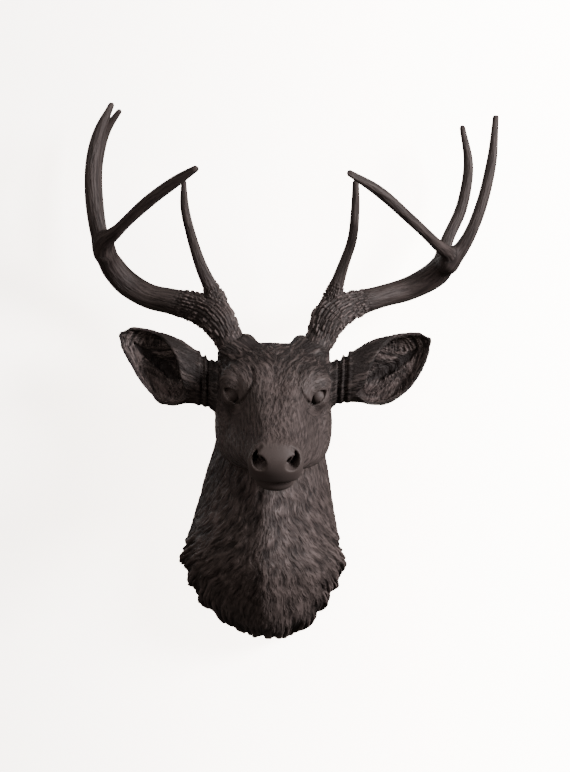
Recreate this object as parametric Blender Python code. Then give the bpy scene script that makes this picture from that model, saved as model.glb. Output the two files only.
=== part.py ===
"""Faux deer head wall mount: a matt black resin casting of a stag, with two antlers.

The head, ears, neck and ragged fur edge are one casting with a flat back, which hangs on a
screw head by the keyhole in that back. Each antler is a casting of its own and stands in a
socket in the head. Metres, +Z up. The back lies in the plane y = 0, the face looks along -Y,
and the origin is on the back, on the centre line. Left and right are the viewer's.

The forms are solid fields: each function gives, for an array of points, roughly how far they
lie outside its form, and negative values inside. The tables hold head, ear, neck and antler
units, which are about a millimetre at the sizes below and grow and shrink with those sizes.
"""

import math

import bmesh
import bpy
import numpy as np
from mathutils import Matrix, Vector

# Head: the face from the nose back to the poll, and where the poll stands off the wall.
HEAD_LENGTH = 0.195
HEAD_PITCH_DEG = 37.5
POLL_STANDOFF = 0.090
POLL_HEIGHT = 0.114

# Ears: length from the root to the tip, how the ear stands off the head, its wall and its creases.
EAR_LENGTH = 0.1126
EAR_RISE_DEG = {-1: 28.0, 1: 26.6}
EAR_BACK_DEG = -4.0
EAR_WALL = 0.0046
EAR_CREASES = (9.0, 16.0)
EAR_CREASE_DEPTH = 0.0022

# Neck: from the origin down to the lowest fur, its greatest half width and depth, its ridge and its locks.
NECK_DROP = 0.203
NECK_HALF_WIDTH = 0.0855
NECK_DEPTH = 0.106
NECK_RIDGE_RADIUS = 0.004
LOCK_DEPTH = 0.0045

# Antlers: overall height above the foot, the foot with its straight stretch and how far it runs on before its
# end is cut flat, and the head's socket and collar round it.
ANTLER_HEIGHT = 0.235
FOOT_RADIUS = 0.0145
SEAT_DEPTH = 0.012
COLLAR_WALL = 0.0033
COLLAR_DROP = 0.015
SEAT_GAP = 0.0003
SOCKET_GAP = 0.0009
FOOT_STRAIGHT = 0.009
FOOT_RUN_ON = 0.01

# Keyhole in the back, for the head and shank of a wood screw.
KEYHOLE_HEIGHT = 0.030
KEYHOLE_HEAD_RADIUS = 0.0065
KEYHOLE_SHANK_RADIUS = 0.0032
KEYHOLE_RISE = 0.014
KEYHOLE_LIP = 0.004
KEYHOLE_DEPTH = 0.013
# Slot: its depth as a share of the entry's. Pocket: its depth and its half width as shares of the entry's,
# and how far it runs past the slot, as a share of the entry's radius.
KEYHOLE_SLOT_DEPTH_SHARE = 0.9
KEYHOLE_POCKET_DEPTH_SHARE = 0.98
KEYHOLE_POCKET_WIDTH_SHARE = 0.9
KEYHOLE_POCKET_RISE_SHARE = 0.5

# Fillets: where the forms of the head's casting meet, where an ear meets it, at an antler's forks, and at its
# foot.
CASTING_FILLET = 0.012
EAR_FILLET = 0.005
FORK_FILLET = 0.007
FOOT_FILLET = 0.0005

# Facets: the grid's margin round the forms and behind the wall's plane, its spacing, the half width and the
# bottom, in head units, of the part of it that is as fine as the face, and the triangles kept.
MARGIN = 0.015
BEHIND_WALL = 0.012
HEAD_CELL = 0.0028
FACE_CELL = 0.0019
ANTLER_CELL = 0.0022
FINE_HALF_WIDTH = 62
FINE_BOTTOM = -55
HEAD_TRIANGLES = 7000
ANTLER_TRIANGLES = 1300

HEAD_UNIT = HEAD_LENGTH / 195
EAR_UNIT = EAR_LENGTH / 108.6
NECK_UNIT = NECK_DROP / 203
ANTLER_UNIT = ANTLER_HEIGHT / 235

PITCH = math.radians(HEAD_PITCH_DEG)
BACKWARD = np.array([0, math.cos(PITCH), math.sin(PITCH)])
UPWARD = np.array([0, -math.sin(PITCH), math.cos(PITCH)])
NOSE = np.array([0, -POLL_STANDOFF, POLL_HEIGHT]) - BACKWARD * HEAD_LENGTH

# Face sections, back from the nose: (place, top, bottom, upper half width, lower half width, squareness).
FACE_SECTIONS = (
    (-8, -7, -46, 19, 15, 2.4),
    (0, -1, -48, 21.5, 21, 2.8),
    (10, 2, -50, 22.5, 24, 2.8),
    (25, 2, -53, 22.5, 26, 2.5),
    (45, 1, -62, 23, 33, 2.6),
    (65, 1, -74, 26, 41, 2.9),
    (85, 2, -89, 28, 49, 3.4),
    (105, 4, -103, 33, 56, 3.6),
    (117, 5, -110, 39, 57, 3.6),
    (130, 6, -115, 47.5, 57.5, 3.6),
    (145, 5, -118, 54, 57.5, 3.3),
    (165, 1, -111, 55.5, 56, 2.7),
    (185, -7, -98, 54, 56, 2.5),
    (205, -21, -82, 45, 48, 2.3),
    (225, -40, -64, 24, 28, 2.2),
)
# Profile of the muzzle's front: (height, how far back it lies).
MUZZLE_FRONT = (
    (-54, 18),
    (-49, 9),
    (-43, 5.5),
    (-37.5, 4.5),
    (-32.5, 1.0),
    (-24, -1),
    (-12, -1),
    (-5, 2),
    (2, 9),
)

# The face's round front, the end of the skull, and the blend between the ends and the sides.
MUZZLE_ROUND = 0.012
SKULL_END = 222
SKULL_BLEND = 6

# How far the face stands to the right of the centre line, and between which places that shift dies away.
FACE_SHIFT = 1.4
FACE_SHIFT_FADE = (140, 200)

# Soft forms of the face: (middle, radii, blend). The hollow and the dip are cut, and the others added.
NOSE_PAD = ((0, 13, -17.3), (24, 14, 17.3), 11)
LOWER_LIP = ((0, 20, -42.5), (19.5, 16, 10), 3)
CHEEK = ((44, 136, -74), (13, 28, 28), 10)
EYE_HOLLOW = ((40, 86, -14), (7, 20, 10), 9)
ANTLER_FUR = ((26, 190, -13), (8, 13, 9), 6)
BRIDGE_DIP = ((0, 104, 24), (12, 34, 21), 10)

# Nostril: its pit, the slit over it with its deeper part, and the fold in it, each with its blend.
# Mouth: its line back along the lip.
NOSTRIL_PIT_BLEND = 1.0
NOSTRIL_SLIT_BLEND = 0.8
NOSTRIL_FOLD_BLEND = 0.6
MOUTH_BLEND = 2
NOSTRIL_PIT = ((16.2, -3, -9.5, 7.4), (13.5, 20, -13, 5.0))
NOSTRIL_SLIT = ((20.5, 6, -8.5, 3.0), (19.0, 10, -3.0, 2.6), (15.5, 11.5, 0.5, 2.2))
NOSTRIL_SLIT_DEEP = ((19, 12, -9, 3.0), (17.5, 15, -5.5, 2.4), (15, 16, -3.5, 1.8))
NOSTRIL_FOLD = ((12, 11, -15, 1.6), (14.5, 10, -10, 1.3), (16, 10.5, -6, 1.0))
MOUTH = (
    (0, 1.0, -33.4, 1.8),
    (12, 4, -33.8, 1.8),
    (19, 12, -36, 1.8),
    (24.5, 28, -41, 1.6),
    (32, 48, -48, 1.0),
)

# Line of the mouth: its height at the front, and from where and how steeply it falls. Chin: how far it draws
# in under that line, over what height, and between which places that dies away.
MOUTH_LINE = -33.8
MOUTH_FALL_START = 12
MOUTH_FALL = 0.22
CHIN_TUCK = 0.22
CHIN_EDGE = 3.5
CHIN_FADE = (32, 56)

# Eye: middle of its lids' ball, where it looks, and the direction from its inner to its outer corner; its
# lids and eyeball; and the opening between the lids.
EYE = (39.4, 122, -24.5)
EYE_LOOK = (0.45, -0.64, 0.62)
EYE_SLANT = (0.66, 0.71, 0.26)
EYE_LID_RADIUS = 13.6
EYE_BALL_RADIUS = 7.4
EYE_BALL_FORWARD = 4.2
EYE_HALF_LENGTH = 11.0
EYE_HALF_HEIGHT = 5.2
EYE_OPENING_SHIFT = (-3.7, 0.6)
EYE_OPENING_FLOOR = 3
EYE_OPENING_BLEND = 1.0
EYE_LID_BLEND = 5
# The mound over the eye, the pad on its inner side, and the crease between it and the bridge of the nose.
MOUND = ((39, 131, -15), (16, 17, 15), 9)
PAD_BLEND = 3
PAD_CREASE_BLEND = 1.5
PAD = ((34, 134, -4, 6.5), (29.5, 121, -5.5, 6.8), (28.5, 112, -9.5, 5.6), (33, 107.5, -16.5, 3.2))
PAD_CREASE = (
    (25, 131, 4, 1.0),
    (22.3, 122, 3, 1.5),
    (22.7, 107, -1, 1.6),
    (28, 102, -10, 1.5),
    (32, 104, -18, 1.2),
)

# Neck outline on the wall and its ridge, up from the origin: (height, half width share, depth share, lean).
NECK_SECTIONS = (
    (-203.5, 0.03, 0.06, 3),
    (-202, 0.20, 0.20, 3),
    (-197, 0.36, 0.37, 1.5),
    (-190, 0.495, 0.50, 1),
    (-176, 0.69, 0.66, -1),
    (-165, 0.79, 0.76, -3),
    (-147, 0.90, 0.88, -4.4),
    (-132, 0.98, 0.95, -4.2),
    (-121, 1.0, 0.98, -5),
    (-106, 0.96, 1.0, -5.4),
    (-88, 0.902, 1.0, -4.3),
    (-59, 0.822, 0.99, -3),
    (-25, 0.735, 0.97, -1.8),
    (0, 0.67, 0.95, 0),
    (35, 0.63, 0.90, 0),
    (60, 0.55, 0.80, 0),
    (78, 0.42, 0.62, 0),
    (90, 0.22, 0.36, 0),
    (97, 0.03, 0.08, 0),
)
# How square the neck's sides, its front and the turn between them are, the share of its size that gives the
# distances in its field, and how flat its ridge is.
NECK_SIDES_POWER = 1.2
NECK_FRONT_POWER = 1.9
NECK_TURN_POWER = 1.6
NECK_FIELD_SHARE = 0.8
NECK_RIDGE_FLAT = 0.7
# Locks: the height that they fan out from, their number and wander round it, how much of each stands proud,
# and the height and the share of the neck's depth over which they come up.
LOCK_MIDDLE = 0.45
LOCKS_TO_A_HALF_TURN = 11.5
LOCK_WANDER = 0.35
LOCK_WANDER_RATE = 7
LOCK_LEVEL = 0.45
LOCK_FADE = (95, 155)
LOCK_FADE_DEPTH = 0.75

# Ear sections out from the root: (place, middle, half height, half depth, upper rim angle, lower rim angle).
EAR_SECTIONS = (
    (-14, 1, 17.2, 13, -33, -33),
    (0, 0, 18, 14, -33, -33),
    (12, -1.4, 19.8, 15, -33, -33),
    (19, -2, 21.6, 16, -32, -37),
    (28, -4.5, 24.8, 17, -12, -84),
    (40, -6.3, 27.5, 18, 14, -93),
    (54, -5.8, 28.0, 18, 38, -95),
    (66, -5.4, 26.2, 16.5, 56, -96),
    (76, -4.6, 23, 15, 78, -96),
    (88, -2.8, 17.6, 10, 86, -95),
    (97, -0.6, 11.8, 6, 88, -95),
    (102.5, 0.4, 6.4, 3, 88, -95),
    (105.5, 0.4, 1.5, 1, 88, -95),
)
EAR_ROOT = (56.5, 168, -49)
# How far each ear is shifted from that root, and how far its lower edge hangs down: (place, drop). The drop
# comes in over this height.
EAR_SHIFT = {-1: (0, 0, -2.3), 1: (2, 0, 1)}
EAR_SAG = {
    -1: ((-14, 0), (14, 1), (30, 4), (42, 3.2), (56, -0.8), (70, -3), (84, -4.5), (97, -2.5), (105.5, 0)),
    1: ((-14, -2.5), (6, -2.5), (20, 0), (105.5, 0)),
}
EAR_SAG_HEIGHT = 40
# Filled root: how far it runs past the last crease, and its blend. Swelling behind the ear: (middle, radii,
# blend). Channel in the ear: (out, up, towards the opening, radius).
EAR_ROOT_RUN = 4
EAR_ROOT_BLEND = 3
EAR_SWELLING = ((50, -7, -13), (44, 22, 8), 5)
EAR_CHANNEL = ((30, -12, 0, 2), (46, -11, -5, 3.4), (66, -4, -5, 3), (80, 0, -2, 1.4))
EAR_CHANNEL_BLEND = 3
# Creases: their width, and the heights over which they fade to this share at the lower edge.
EAR_CREASE_WIDTH = 1.8
EAR_CREASE_FADE = (-14, -9)
EAR_CREASE_LEAST = 0.3

# Antler branches up from the centre of the foot: (across, back, up, radius).
BEAM_LEFT = (
    (0, 0, 0, 14.5),
    (-12.2, 6, 20.5, 17.3),
    (-28.5, 14, 30.5, 15.4),
    (-59.5, 28, 38.5, 13.4),
    (-83.5, 37, 44.2, 12.8),
    (-106.3, 37, 57.4, 13.0),
    (-122, 24, 76, 11.6),
    (-127, 3, 92.5, 9.8),
    (-111, -24, 107, 6.1),
    (-79.5, -53, 133.5, 6.2),
    (-52.5, -73, 151.5, 5.4),
    (-35.5, -86, 161, 3.5),
)
BROW_LEFT = (
    (-12, 11, 40, 9.1),
    (-21, 8, 56, 7.5),
    (-30, 2, 75, 6.2),
    (-40, -10, 103.5, 4.9),
    (-47, -20, 132.5, 4.3),
    (-48, -27, 154.5, 2.8),
)
REAR_LEFT = (
    (-121, 33, 73.5, 9.2),
    (-133, 42, 104.5, 7.8),
    (-139, 46, 141.5, 6.9),
    (-138.8, 46, 182.5, 6.1),
    (-130.2, 42, 213, 4.8),
    (-117, 34, 231, 2.8),
)
FRONT_LEFT = (
    (-127.5, 10, 86, 9.6),
    (-134.5, 2, 112.5, 8.6),
    (-140, 0, 147, 7.8),
    (-140, 0, 177.5, 7.0),
    (-134, 2, 207.5, 5.8),
    (-123, 3, 233, 3.2),
)
BEAM_RIGHT = (
    (0, 0, 0, 14.5),
    (9.6, 6, 22.5, 17.3),
    (27.5, 15, 35.2, 14.8),
    (63, 30, 48, 11.5),
    (94.5, 38, 58.2, 12.2),
    (121, 29, 74.3, 13.0),
    (130.5, 6, 88.5, 8.2),
    (114, -22, 100, 5.6),
    (84, -52, 122, 5.3),
    (50, -74, 146.5, 5.3),
    (23, -88, 160, 3.4),
)
BROW_RIGHT = (
    (12.5, 12, 42, 9.6),
    (17.8, 8, 59, 7.3),
    (24.4, 2, 80, 5.6),
    (31, -6, 102.5, 4.9),
    (33, -16, 132, 4.4),
    (32.5, -24, 158, 3.4),
)
REAR_RIGHT = (
    (122, 32, 75, 9.0),
    (131, 40, 105.5, 6.8),
    (147, 46, 145, 6.0),
    (152.5, 45, 186.5, 5.1),
    (145, 38, 223.5, 3.1),
)
FRONT_RIGHT = (
    (130.5, 8, 81.5, 9.7),
    (146.5, 2, 104, 7.0),
    (161, 0, 141.5, 5.9),
    (170, 0, 182, 5.3),
    (173.5, -3, 229, 3.3),
)
ANTLERS = {
    "antler_left": (-1, (BEAM_LEFT, BROW_LEFT, REAR_LEFT, FRONT_LEFT)),
    "antler_right": (1, (BEAM_RIGHT, BROW_RIGHT, REAR_RIGHT, FRONT_RIGHT)),
}
PEDICLE = (45, 192, -9)
FOOT_LEAN_DEG = 26.0
FOOT_BACK_DEG = 14.0
# Steps of a smooth route: at the eye, and for each point of an antler's branch.
EYE_ROUTE_STEPS = 16
BRANCH_STEPS = 6


def curve(at, places, values):
    """Smooth value at each place, through the given values at the given places."""
    places, values = np.asarray(places, float), np.asarray(values, float)
    slope = np.gradient(values, places)
    i = np.clip(np.searchsorted(places, at) - 1, 0, len(places) - 2)
    width = places[i + 1] - places[i]
    u = np.clip((at - places[i]) / width, 0, 1)
    rise = values[i + 1] - values[i]
    start, end = slope[i] * width, slope[i + 1] * width
    return values[i] + u * (start + u * (3 * rise - 2 * start - end + u * (start + end - 2 * rise)))


def section(at, table):
    """Each column of a table of sections, read at the given places."""
    columns = np.array(table, float).T
    return [curve(at, columns[0], column) for column in columns[1:]]


def join(a, b, blend):
    """Union of two fields with a fillet of about this size."""
    h = np.clip(0.5 + 0.5 * (b - a) / blend, 0, 1)
    return b + (a - b) * h - blend * h * (1 - h)


def carve(a, b, blend):
    """Field a with field b cut out of it, and the edge eased by about this size."""
    return -join(-a, b, blend)


def ellipsoid(q, centre, radii):
    """Field of an ellipsoid in the coordinates of q."""
    away = (q - np.array(centre, float)) / np.array(radii, float)
    near = np.linalg.norm(away, axis=1)
    return near * (near - 1) / (np.linalg.norm(away / np.array(radii, float), axis=1) + 1e-9)


def swell(form, q, centre, radii, blend):
    """The form with an ellipsoid added to it."""
    return join(form, ellipsoid(q, centre, radii), blend)


def hollow(form, q, centre, radii, blend):
    """The form with an ellipsoid cut out of it."""
    return carve(form, ellipsoid(q, centre, radii), blend)


def fade(at, start, end):
    """1 up to the start, 0 from the end on, and an even slope between them."""
    return np.clip((end - at) / (end - start), 0, 1)


def strand(q, route):
    """Field of a tapering rod along a route of (x, y, z, radius)."""
    best = np.full(len(q), np.inf)
    for start, end in zip(route[:-1], route[1:]):
        a, along = np.array(start[:3]), np.array(end[:3]) - np.array(start[:3])
        u = np.clip((q - a) @ along / max(along @ along, 1e-12), 0, 1)
        away = np.linalg.norm(q - a - u[:, None] * along, axis=1)
        best = np.minimum(best, away - start[3] - u * (end[3] - start[3]))
    return best


def smooth_route(points, steps):
    """The points of a smooth curve through the given points, with their radii."""
    points = np.array(points, float)
    reach = np.concatenate([[0], np.cumsum(np.linalg.norm(np.diff(points[:, :3], axis=0), axis=1))])
    at = np.linspace(0, reach[-1], steps)
    return np.stack([curve(at, reach, column) for column in points.T], axis=1)


def head_frame(points):
    """Points in head units: across, back from the nose, and up from the bridge of the nose."""
    away = (points - NOSE) / HEAD_UNIT
    back = away @ BACKWARD
    across = away[:, 0] - FACE_SHIFT * fade(back, *FACE_SHIFT_FADE)
    return np.stack([across, back, away @ UPWARD], axis=1)


def from_head(place):
    """The point at a place given in head units."""
    across, back, up = (value * HEAD_UNIT for value in place)
    return NOSE + np.array([across, 0, 0]) + BACKWARD * back + UPWARD * up


def face_sections(back, up):
    """The face's middle height, half height, half width and squareness at places and heights."""
    top, bottom, upper, lower, square = section(back, FACE_SECTIONS)
    middle, half = (top + bottom) / 2, (top - bottom) / 2
    share = np.clip(((up - middle) / half + 1) / 2, 0, 1)
    width = lower + (upper - lower) * share * share * (3 - 2 * share)
    # The lower jaw is narrower than the lip above it, back to the corner of the mouth.
    line = MOUTH_LINE - MOUTH_FALL * np.clip(back - MOUTH_FALL_START, 0, None)
    under = np.clip((line - up) / CHIN_EDGE, 0, 1)
    return middle, half, width * (1 - CHIN_TUCK * under * fade(back, *CHIN_FADE)), square


def face(q):
    """Skull, muzzle and jaw, in head units, with q's first column never negative."""
    across, back, up = q.T
    middle, half, width, square = face_sections(back, up)
    radius = ((across / width) ** square + np.abs((up - middle) / half) ** square) ** (1 / square)
    heights, setback = np.array(MUZZLE_FRONT, float).T
    front = curve(up, heights, setback) - back + MUZZLE_ROUND * across**2
    skull = (radius - 1) * np.minimum(width, half)
    ends = np.maximum(front, back - SKULL_END)
    return -join(-skull, -ends, SKULL_BLEND)


def eye_coordinates(q):
    """Places by the eye, in head units: towards its outer corner, up across it, and out along its look."""
    look = np.array(EYE_LOOK) / np.linalg.norm(EYE_LOOK)
    slant = np.array(EYE_SLANT) - look * (look @ EYE_SLANT)
    slant /= np.linalg.norm(slant)
    away = q - np.array(EYE, float)
    return away @ slant, away @ np.cross(look, slant), away @ look


def eye(form, q):
    """The face with its eye: a pad beside it, lids as a part of a ball, and the eyeball in their opening."""
    along, rise, out = eye_coordinates(q)
    far = np.sqrt(along**2 + rise**2 + out**2)
    form = swell(form, q, *MOUND)
    form = join(form, strand(q, smooth_route(PAD, EYE_ROUTE_STEPS)), PAD_BLEND)
    form = carve(form, strand(q, smooth_route(PAD_CREASE, EYE_ROUTE_STEPS)), PAD_CREASE_BLEND)
    form = join(form, far - EYE_LID_RADIUS, EYE_LID_BLEND)
    bend = (EYE_HALF_LENGTH**2 + EYE_HALF_HEIGHT**2) / (2 * EYE_HALF_HEIGHT)
    across = along - EYE_OPENING_SHIFT[0]
    above = rise - EYE_OPENING_SHIFT[1]
    lids = [np.hypot(across, above + way * (bend - EYE_HALF_HEIGHT)) - bend for way in (-1, 1)]
    opening = np.maximum(np.maximum(*lids), EYE_OPENING_FLOOR - out)
    form = carve(form, opening, EYE_OPENING_BLEND)
    ball = np.sqrt(along**2 + rise**2 + (out - EYE_BALL_FORWARD) ** 2) - EYE_BALL_RADIUS
    return np.minimum(form, ball)


def head_forms(points):
    """The head without its ears."""
    q = head_frame(points)
    q[:, 0] = np.abs(q[:, 0])
    form = face(q)
    form = swell(form, q, *NOSE_PAD)
    form = swell(form, q, *LOWER_LIP)
    form = swell(form, q, *CHEEK)
    form = hollow(form, q, *EYE_HOLLOW)
    form = swell(form, q, *ANTLER_FUR)
    form = hollow(form, q, *BRIDGE_DIP)
    form = eye(form, q)
    slit = np.minimum(strand(q, NOSTRIL_SLIT), strand(q, NOSTRIL_SLIT_DEEP))
    form = carve(form, strand(q, NOSTRIL_PIT), NOSTRIL_PIT_BLEND)
    form = carve(form, slit, NOSTRIL_SLIT_BLEND)
    form = join(form, strand(q, NOSTRIL_FOLD), NOSTRIL_FOLD_BLEND)
    form = carve(form, strand(q, MOUTH), MOUTH_BLEND)
    return form * HEAD_UNIT


def ear_axes(side):
    """Directions of an ear: out to the tip, up across it, and towards the opening."""
    rise, back = math.radians(EAR_RISE_DEG[side]), math.radians(EAR_BACK_DEG)
    out = np.array([side * math.cos(rise) * math.cos(back), math.sin(back), math.sin(rise) * math.cos(back)])
    opening = np.array([0, -1.0, 0]) + out * out[1]
    opening /= np.linalg.norm(opening)
    return out, side * np.cross(opening, out), opening


def ear_frame(points, side):
    """Points in ear units: out from the ear's root, up across the ear, and towards its opening."""
    root = from_head(EAR_ROOT) * (side, 1, 1)
    away = (points - root) / EAR_UNIT - EAR_SHIFT[side]
    q = np.stack([away @ axis for axis in ear_axes(side)], axis=1)
    places, drops = np.array(EAR_SAG[side], float).T
    drop = curve(np.clip(q[:, 0], places[0], places[-1]), places, drops)
    q[:, 1] += drop * np.clip(0.5 - q[:, 1] / EAR_SAG_HEIGHT, 0, 1)
    return q


def ear(q, slope):
    """An ear in ear units: a shell round an open funnel, with a floor, a filled root and upright creases."""
    first, last = EAR_SECTIONS[0][0], EAR_SECTIONS[-1][0]
    middle, height, depth, upper, lower = section(np.clip(q[:, 0], first, last), EAR_SECTIONS)
    u, v = (q[:, 1] - middle) / height, q[:, 2] / depth
    radius = np.hypot(u, v) + 1e-6
    shell = np.abs(radius - 1) * radius / (np.hypot(u / height, v / depth) + 1e-6)
    # The opening lies between the two rims; there the nearer rim is the nearest wall.
    turn = np.degrees(np.arctan2(u, v))
    rims = np.full(len(q), np.inf)
    for angle in (upper, lower):
        b, c = middle + height * np.sin(np.radians(angle)), depth * np.cos(np.radians(angle))
        rims = np.minimum(rims, np.hypot(q[:, 1] - b, q[:, 2] - c))
    wall = np.where((turn < upper) & (turn > lower), rims, shell)
    beyond = np.maximum(np.maximum(first - q[:, 0], q[:, 0] - last), 0)
    form = np.hypot(wall, beyond) - EAR_WALL / EAR_UNIT / 2
    beside = q[:, 0] - slope * q[:, 1]
    root = np.maximum((radius - 1) * depth - EAR_WALL / EAR_UNIT / 2, beside - EAR_CREASES[1] - EAR_ROOT_RUN)
    form = join(form, root, EAR_ROOT_BLEND)
    form = swell(form, q, *EAR_SWELLING)
    form = carve(form, strand(q, EAR_CHANNEL), EAR_CHANNEL_BLEND)
    creases = sum(np.exp(-(((beside - place) / EAR_CREASE_WIDTH) ** 2)) for place in EAR_CREASES)
    low, high = EAR_CREASE_FADE
    share = np.clip((q[:, 1] - low) / (high - low), EAR_CREASE_LEAST, 1)
    return form + EAR_CREASE_DEPTH / EAR_UNIT * creases * share


def ears(points):
    form = np.full(len(points), np.inf)
    for side in (-1, 1):
        beside = points[:, 0] * side >= 0
        slope = math.tan(math.radians(EAR_RISE_DEG[side]))
        form[beside] = ear(ear_frame(points[beside], side), slope) * EAR_UNIT
    return form


def neck(points):
    """Neck and brisket, ridged down the front, with ragged locks of fur round its lower edge."""
    height = points[:, 2] / NECK_UNIT
    width, depth, lean = section(height, NECK_SECTIONS)
    across = points[:, 0] - lean * NECK_UNIT
    width, depth = width * NECK_HALF_WIDTH, depth * NECK_DEPTH
    turn = np.arctan2(across, -(points[:, 2] + LOCK_MIDDLE * NECK_DROP))
    wander = LOCK_WANDER * np.sin(turn * LOCK_WANDER_RATE)
    lock = np.abs(((turn * LOCKS_TO_A_HALF_TURN + wander) / math.pi) % 1 * 2 - 1)
    start, end = LOCK_FADE
    near_wall = np.clip(1 + points[:, 1] / (LOCK_FADE_DEPTH * NECK_DEPTH), 0, 1)
    shown = np.clip((-height - start) / (end - start), 0, 1) * near_wall
    ridge, flat = NECK_RIDGE_RADIUS, NECK_RIDGE_FLAT * NECK_RIDGE_RADIUS
    sides = ((np.hypot(across, ridge) - flat) / (np.hypot(width, ridge) - flat)) ** NECK_SIDES_POWER
    front = np.clip(-points[:, 1] / depth, 0, None) ** NECK_FRONT_POWER
    form = ((sides + front) ** (1 / NECK_TURN_POWER) - 1) * np.minimum(width, depth) * NECK_FIELD_SHARE
    locks = LOCK_DEPTH * shown * (lock - LOCK_LEVEL)
    below = np.maximum(NECK_SECTIONS[0][0] - height, height - NECK_SECTIONS[-1][0]) * NECK_UNIT
    return np.maximum(form + locks, below)


def collars(points):
    """Fur standing up round the foot of each antler."""
    form = np.full(len(points), np.inf)
    for side in (-1, 1):
        foot, up = foot_of(side)
        radius = FOOT_RADIUS + COLLAR_WALL
        route = [(*(foot - up * 2 * COLLAR_DROP), radius), (*(foot - up * COLLAR_DROP), radius)]
        form = np.minimum(form, strand(points, route))
    return form


def casting(points):
    """The field of the whole head casting, run on behind the wall plane so that the back can be cut flat."""
    body = join(neck(points), head_forms(points), CASTING_FILLET)
    body = join(body, collars(points), CASTING_FILLET)
    body = join(body, ears(points), EAR_FILLET)
    return np.maximum(body, points[:, 1] - BEHIND_WALL)


def foot_of(side):
    """Centre of an antler's foot at the rim of its socket, and the direction that the antler leaves it."""
    lean, back = math.radians(FOOT_LEAN_DEG), math.radians(FOOT_BACK_DEG)
    up = np.array([side * math.sin(lean), math.sin(back), math.cos(lean)])
    return from_head((side * PEDICLE[0], *PEDICLE[1:])), up / np.linalg.norm(up)


def antler_field(side, branches):
    """The field of one antler, down to the bottom of its socket."""
    foot, up = foot_of(side)
    root = foot - up * (SEAT_DEPTH + FOOT_RUN_ON)
    top = foot + up * FOOT_STRAIGHT
    routes = []
    for branch in branches:
        points = [(*(foot + np.array(p[:3]) * ANTLER_UNIT), p[3] * ANTLER_UNIT) for p in branch]
        if branch is branches[0]:
            points[0] = (*top, FOOT_RADIUS)
        routes.append(smooth_route(points, BRANCH_STEPS * len(points)))

    def field(points):
        form = strand(points, routes[0])
        for route in routes[1:]:
            form = join(form, strand(points, route), FORK_FILLET)
        return join(form, strand(points, ((*root, FOOT_RADIUS), (*top, FOOT_RADIUS))), FOOT_FILLET)

    return field


def sampled(field, axes, block):
    """The field on a grid. Far from the surface only its sign counts, so a coarse grid gives that."""
    shape = [len(axis) for axis in axes]
    coarse = [axis[::block] for axis in axes]
    corners = np.stack(np.meshgrid(*coarse, indexing="ij"), axis=-1).reshape(-1, 3)
    rough = field(corners).reshape([len(axis) for axis in coarse])
    near = [np.minimum((np.arange(n) + block // 2) // block, len(axis) - 1) for n, axis in zip(shape, coarse)]
    values = rough[np.ix_(*near)]
    close = np.nonzero(np.abs(values) < 1.7 * block * max(np.diff(axis).max() for axis in axes))
    values[close] = field(np.stack([axis[i] for axis, i in zip(axes, close)], axis=-1))
    return values


def settled(values, fill):
    """The grid with every spot filled where two sheets of the surface would meet in one cell."""
    low, high = slice(None, -1), slice(1, None)
    full = slice(None)
    diagonals = []
    for axis in range(3):
        for second in (low, high):
            start, end = [second, second, second], [low, low, low]
            start[axis] = end[axis] = full
            start[(axis + 1) % 3] = low
            end[(axis + 1) % 3] = high
            end[(axis + 2) % 3] = low if second == high else high
            diagonals.append((tuple(start), tuple(end)))
    changed = True
    while changed:
        changed = False
        for (a, b), (c, d) in zip(diagonals[0::2], diagonals[1::2]):
            inside = values < 0
            first = inside[a] & inside[b] & ~inside[c] & ~inside[d]
            second = inside[c] & inside[d] & ~inside[a] & ~inside[b]
            for spots, corner in ((first, c), (second, a)):
                if spots.any():
                    values[corner][spots] = -fill
                    changed = True
    return values


def surface(field, axes):
    """Vertices and quads of the field's surface: one vertex in each grid cell that it crosses."""
    values = settled(sampled(field, axes, 3), 0.2 * min(np.diff(axis).min() for axis in axes))
    inside = values < 0
    cells = np.zeros([n - 1 for n in values.shape])
    total = np.zeros((*cells.shape, 3))
    edges = []
    for axis in range(3):
        first = [slice(None)] * 3
        second = [slice(None)] * 3
        first[axis], second[axis] = slice(None, -1), slice(1, None)
        a, b = values[tuple(first)], values[tuple(second)]
        crossed = np.argwhere((a < 0) != (b < 0))
        va, vb = a[tuple(crossed.T)], b[tuple(crossed.T)]
        place = np.stack([axes[i][crossed[:, i]] for i in range(3)], axis=1)
        place[:, axis] += np.diff(axes[axis])[crossed[:, axis]] * va / (va - vb)
        edges.append((axis, crossed, inside[tuple(first)][tuple(crossed.T)]))
        u, v = [i for i in range(3) if i != axis]
        for du in (0, 1):
            for dv in (0, 1):
                beside = crossed.copy()
                beside[:, u] -= du
                beside[:, v] -= dv
                np.add.at(cells, tuple(beside.T), 1)
                np.add.at(total, tuple(beside.T), place)
    number = np.full(cells.shape, -1)
    used = cells > 0
    number[used] = np.arange(used.sum())
    vertices = total[used] / cells[used][:, None]
    quads = []
    for axis, crossed, starts_inside in edges:
        u, v = [i for i in range(3) if i != axis]
        ring = []
        for du, dv in ((0, 0), (1, 0), (1, 1), (0, 1)):
            beside = crossed.copy()
            beside[:, u] -= du
            beside[:, v] -= dv
            ring.append(number[tuple(beside.T)])
        ring = np.stack(ring, axis=1)
        turned = starts_inside != (axis == 1)
        ring[turned] = ring[turned][:, ::-1]
        quads.append(ring[:, ::-1])
    return vertices, np.concatenate(quads)


def spaced(stops):
    """Places along an axis: from each (start, step) to the next start at about that step."""
    places = [stops[0][0]]
    for (start, step), (end, _) in zip(stops[:-1], stops[1:]):
        count = max(1, round((end - start) / step))
        places.extend(start + (end - start) * (i + 1) / count for i in range(count))
    return np.array(places)


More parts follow.
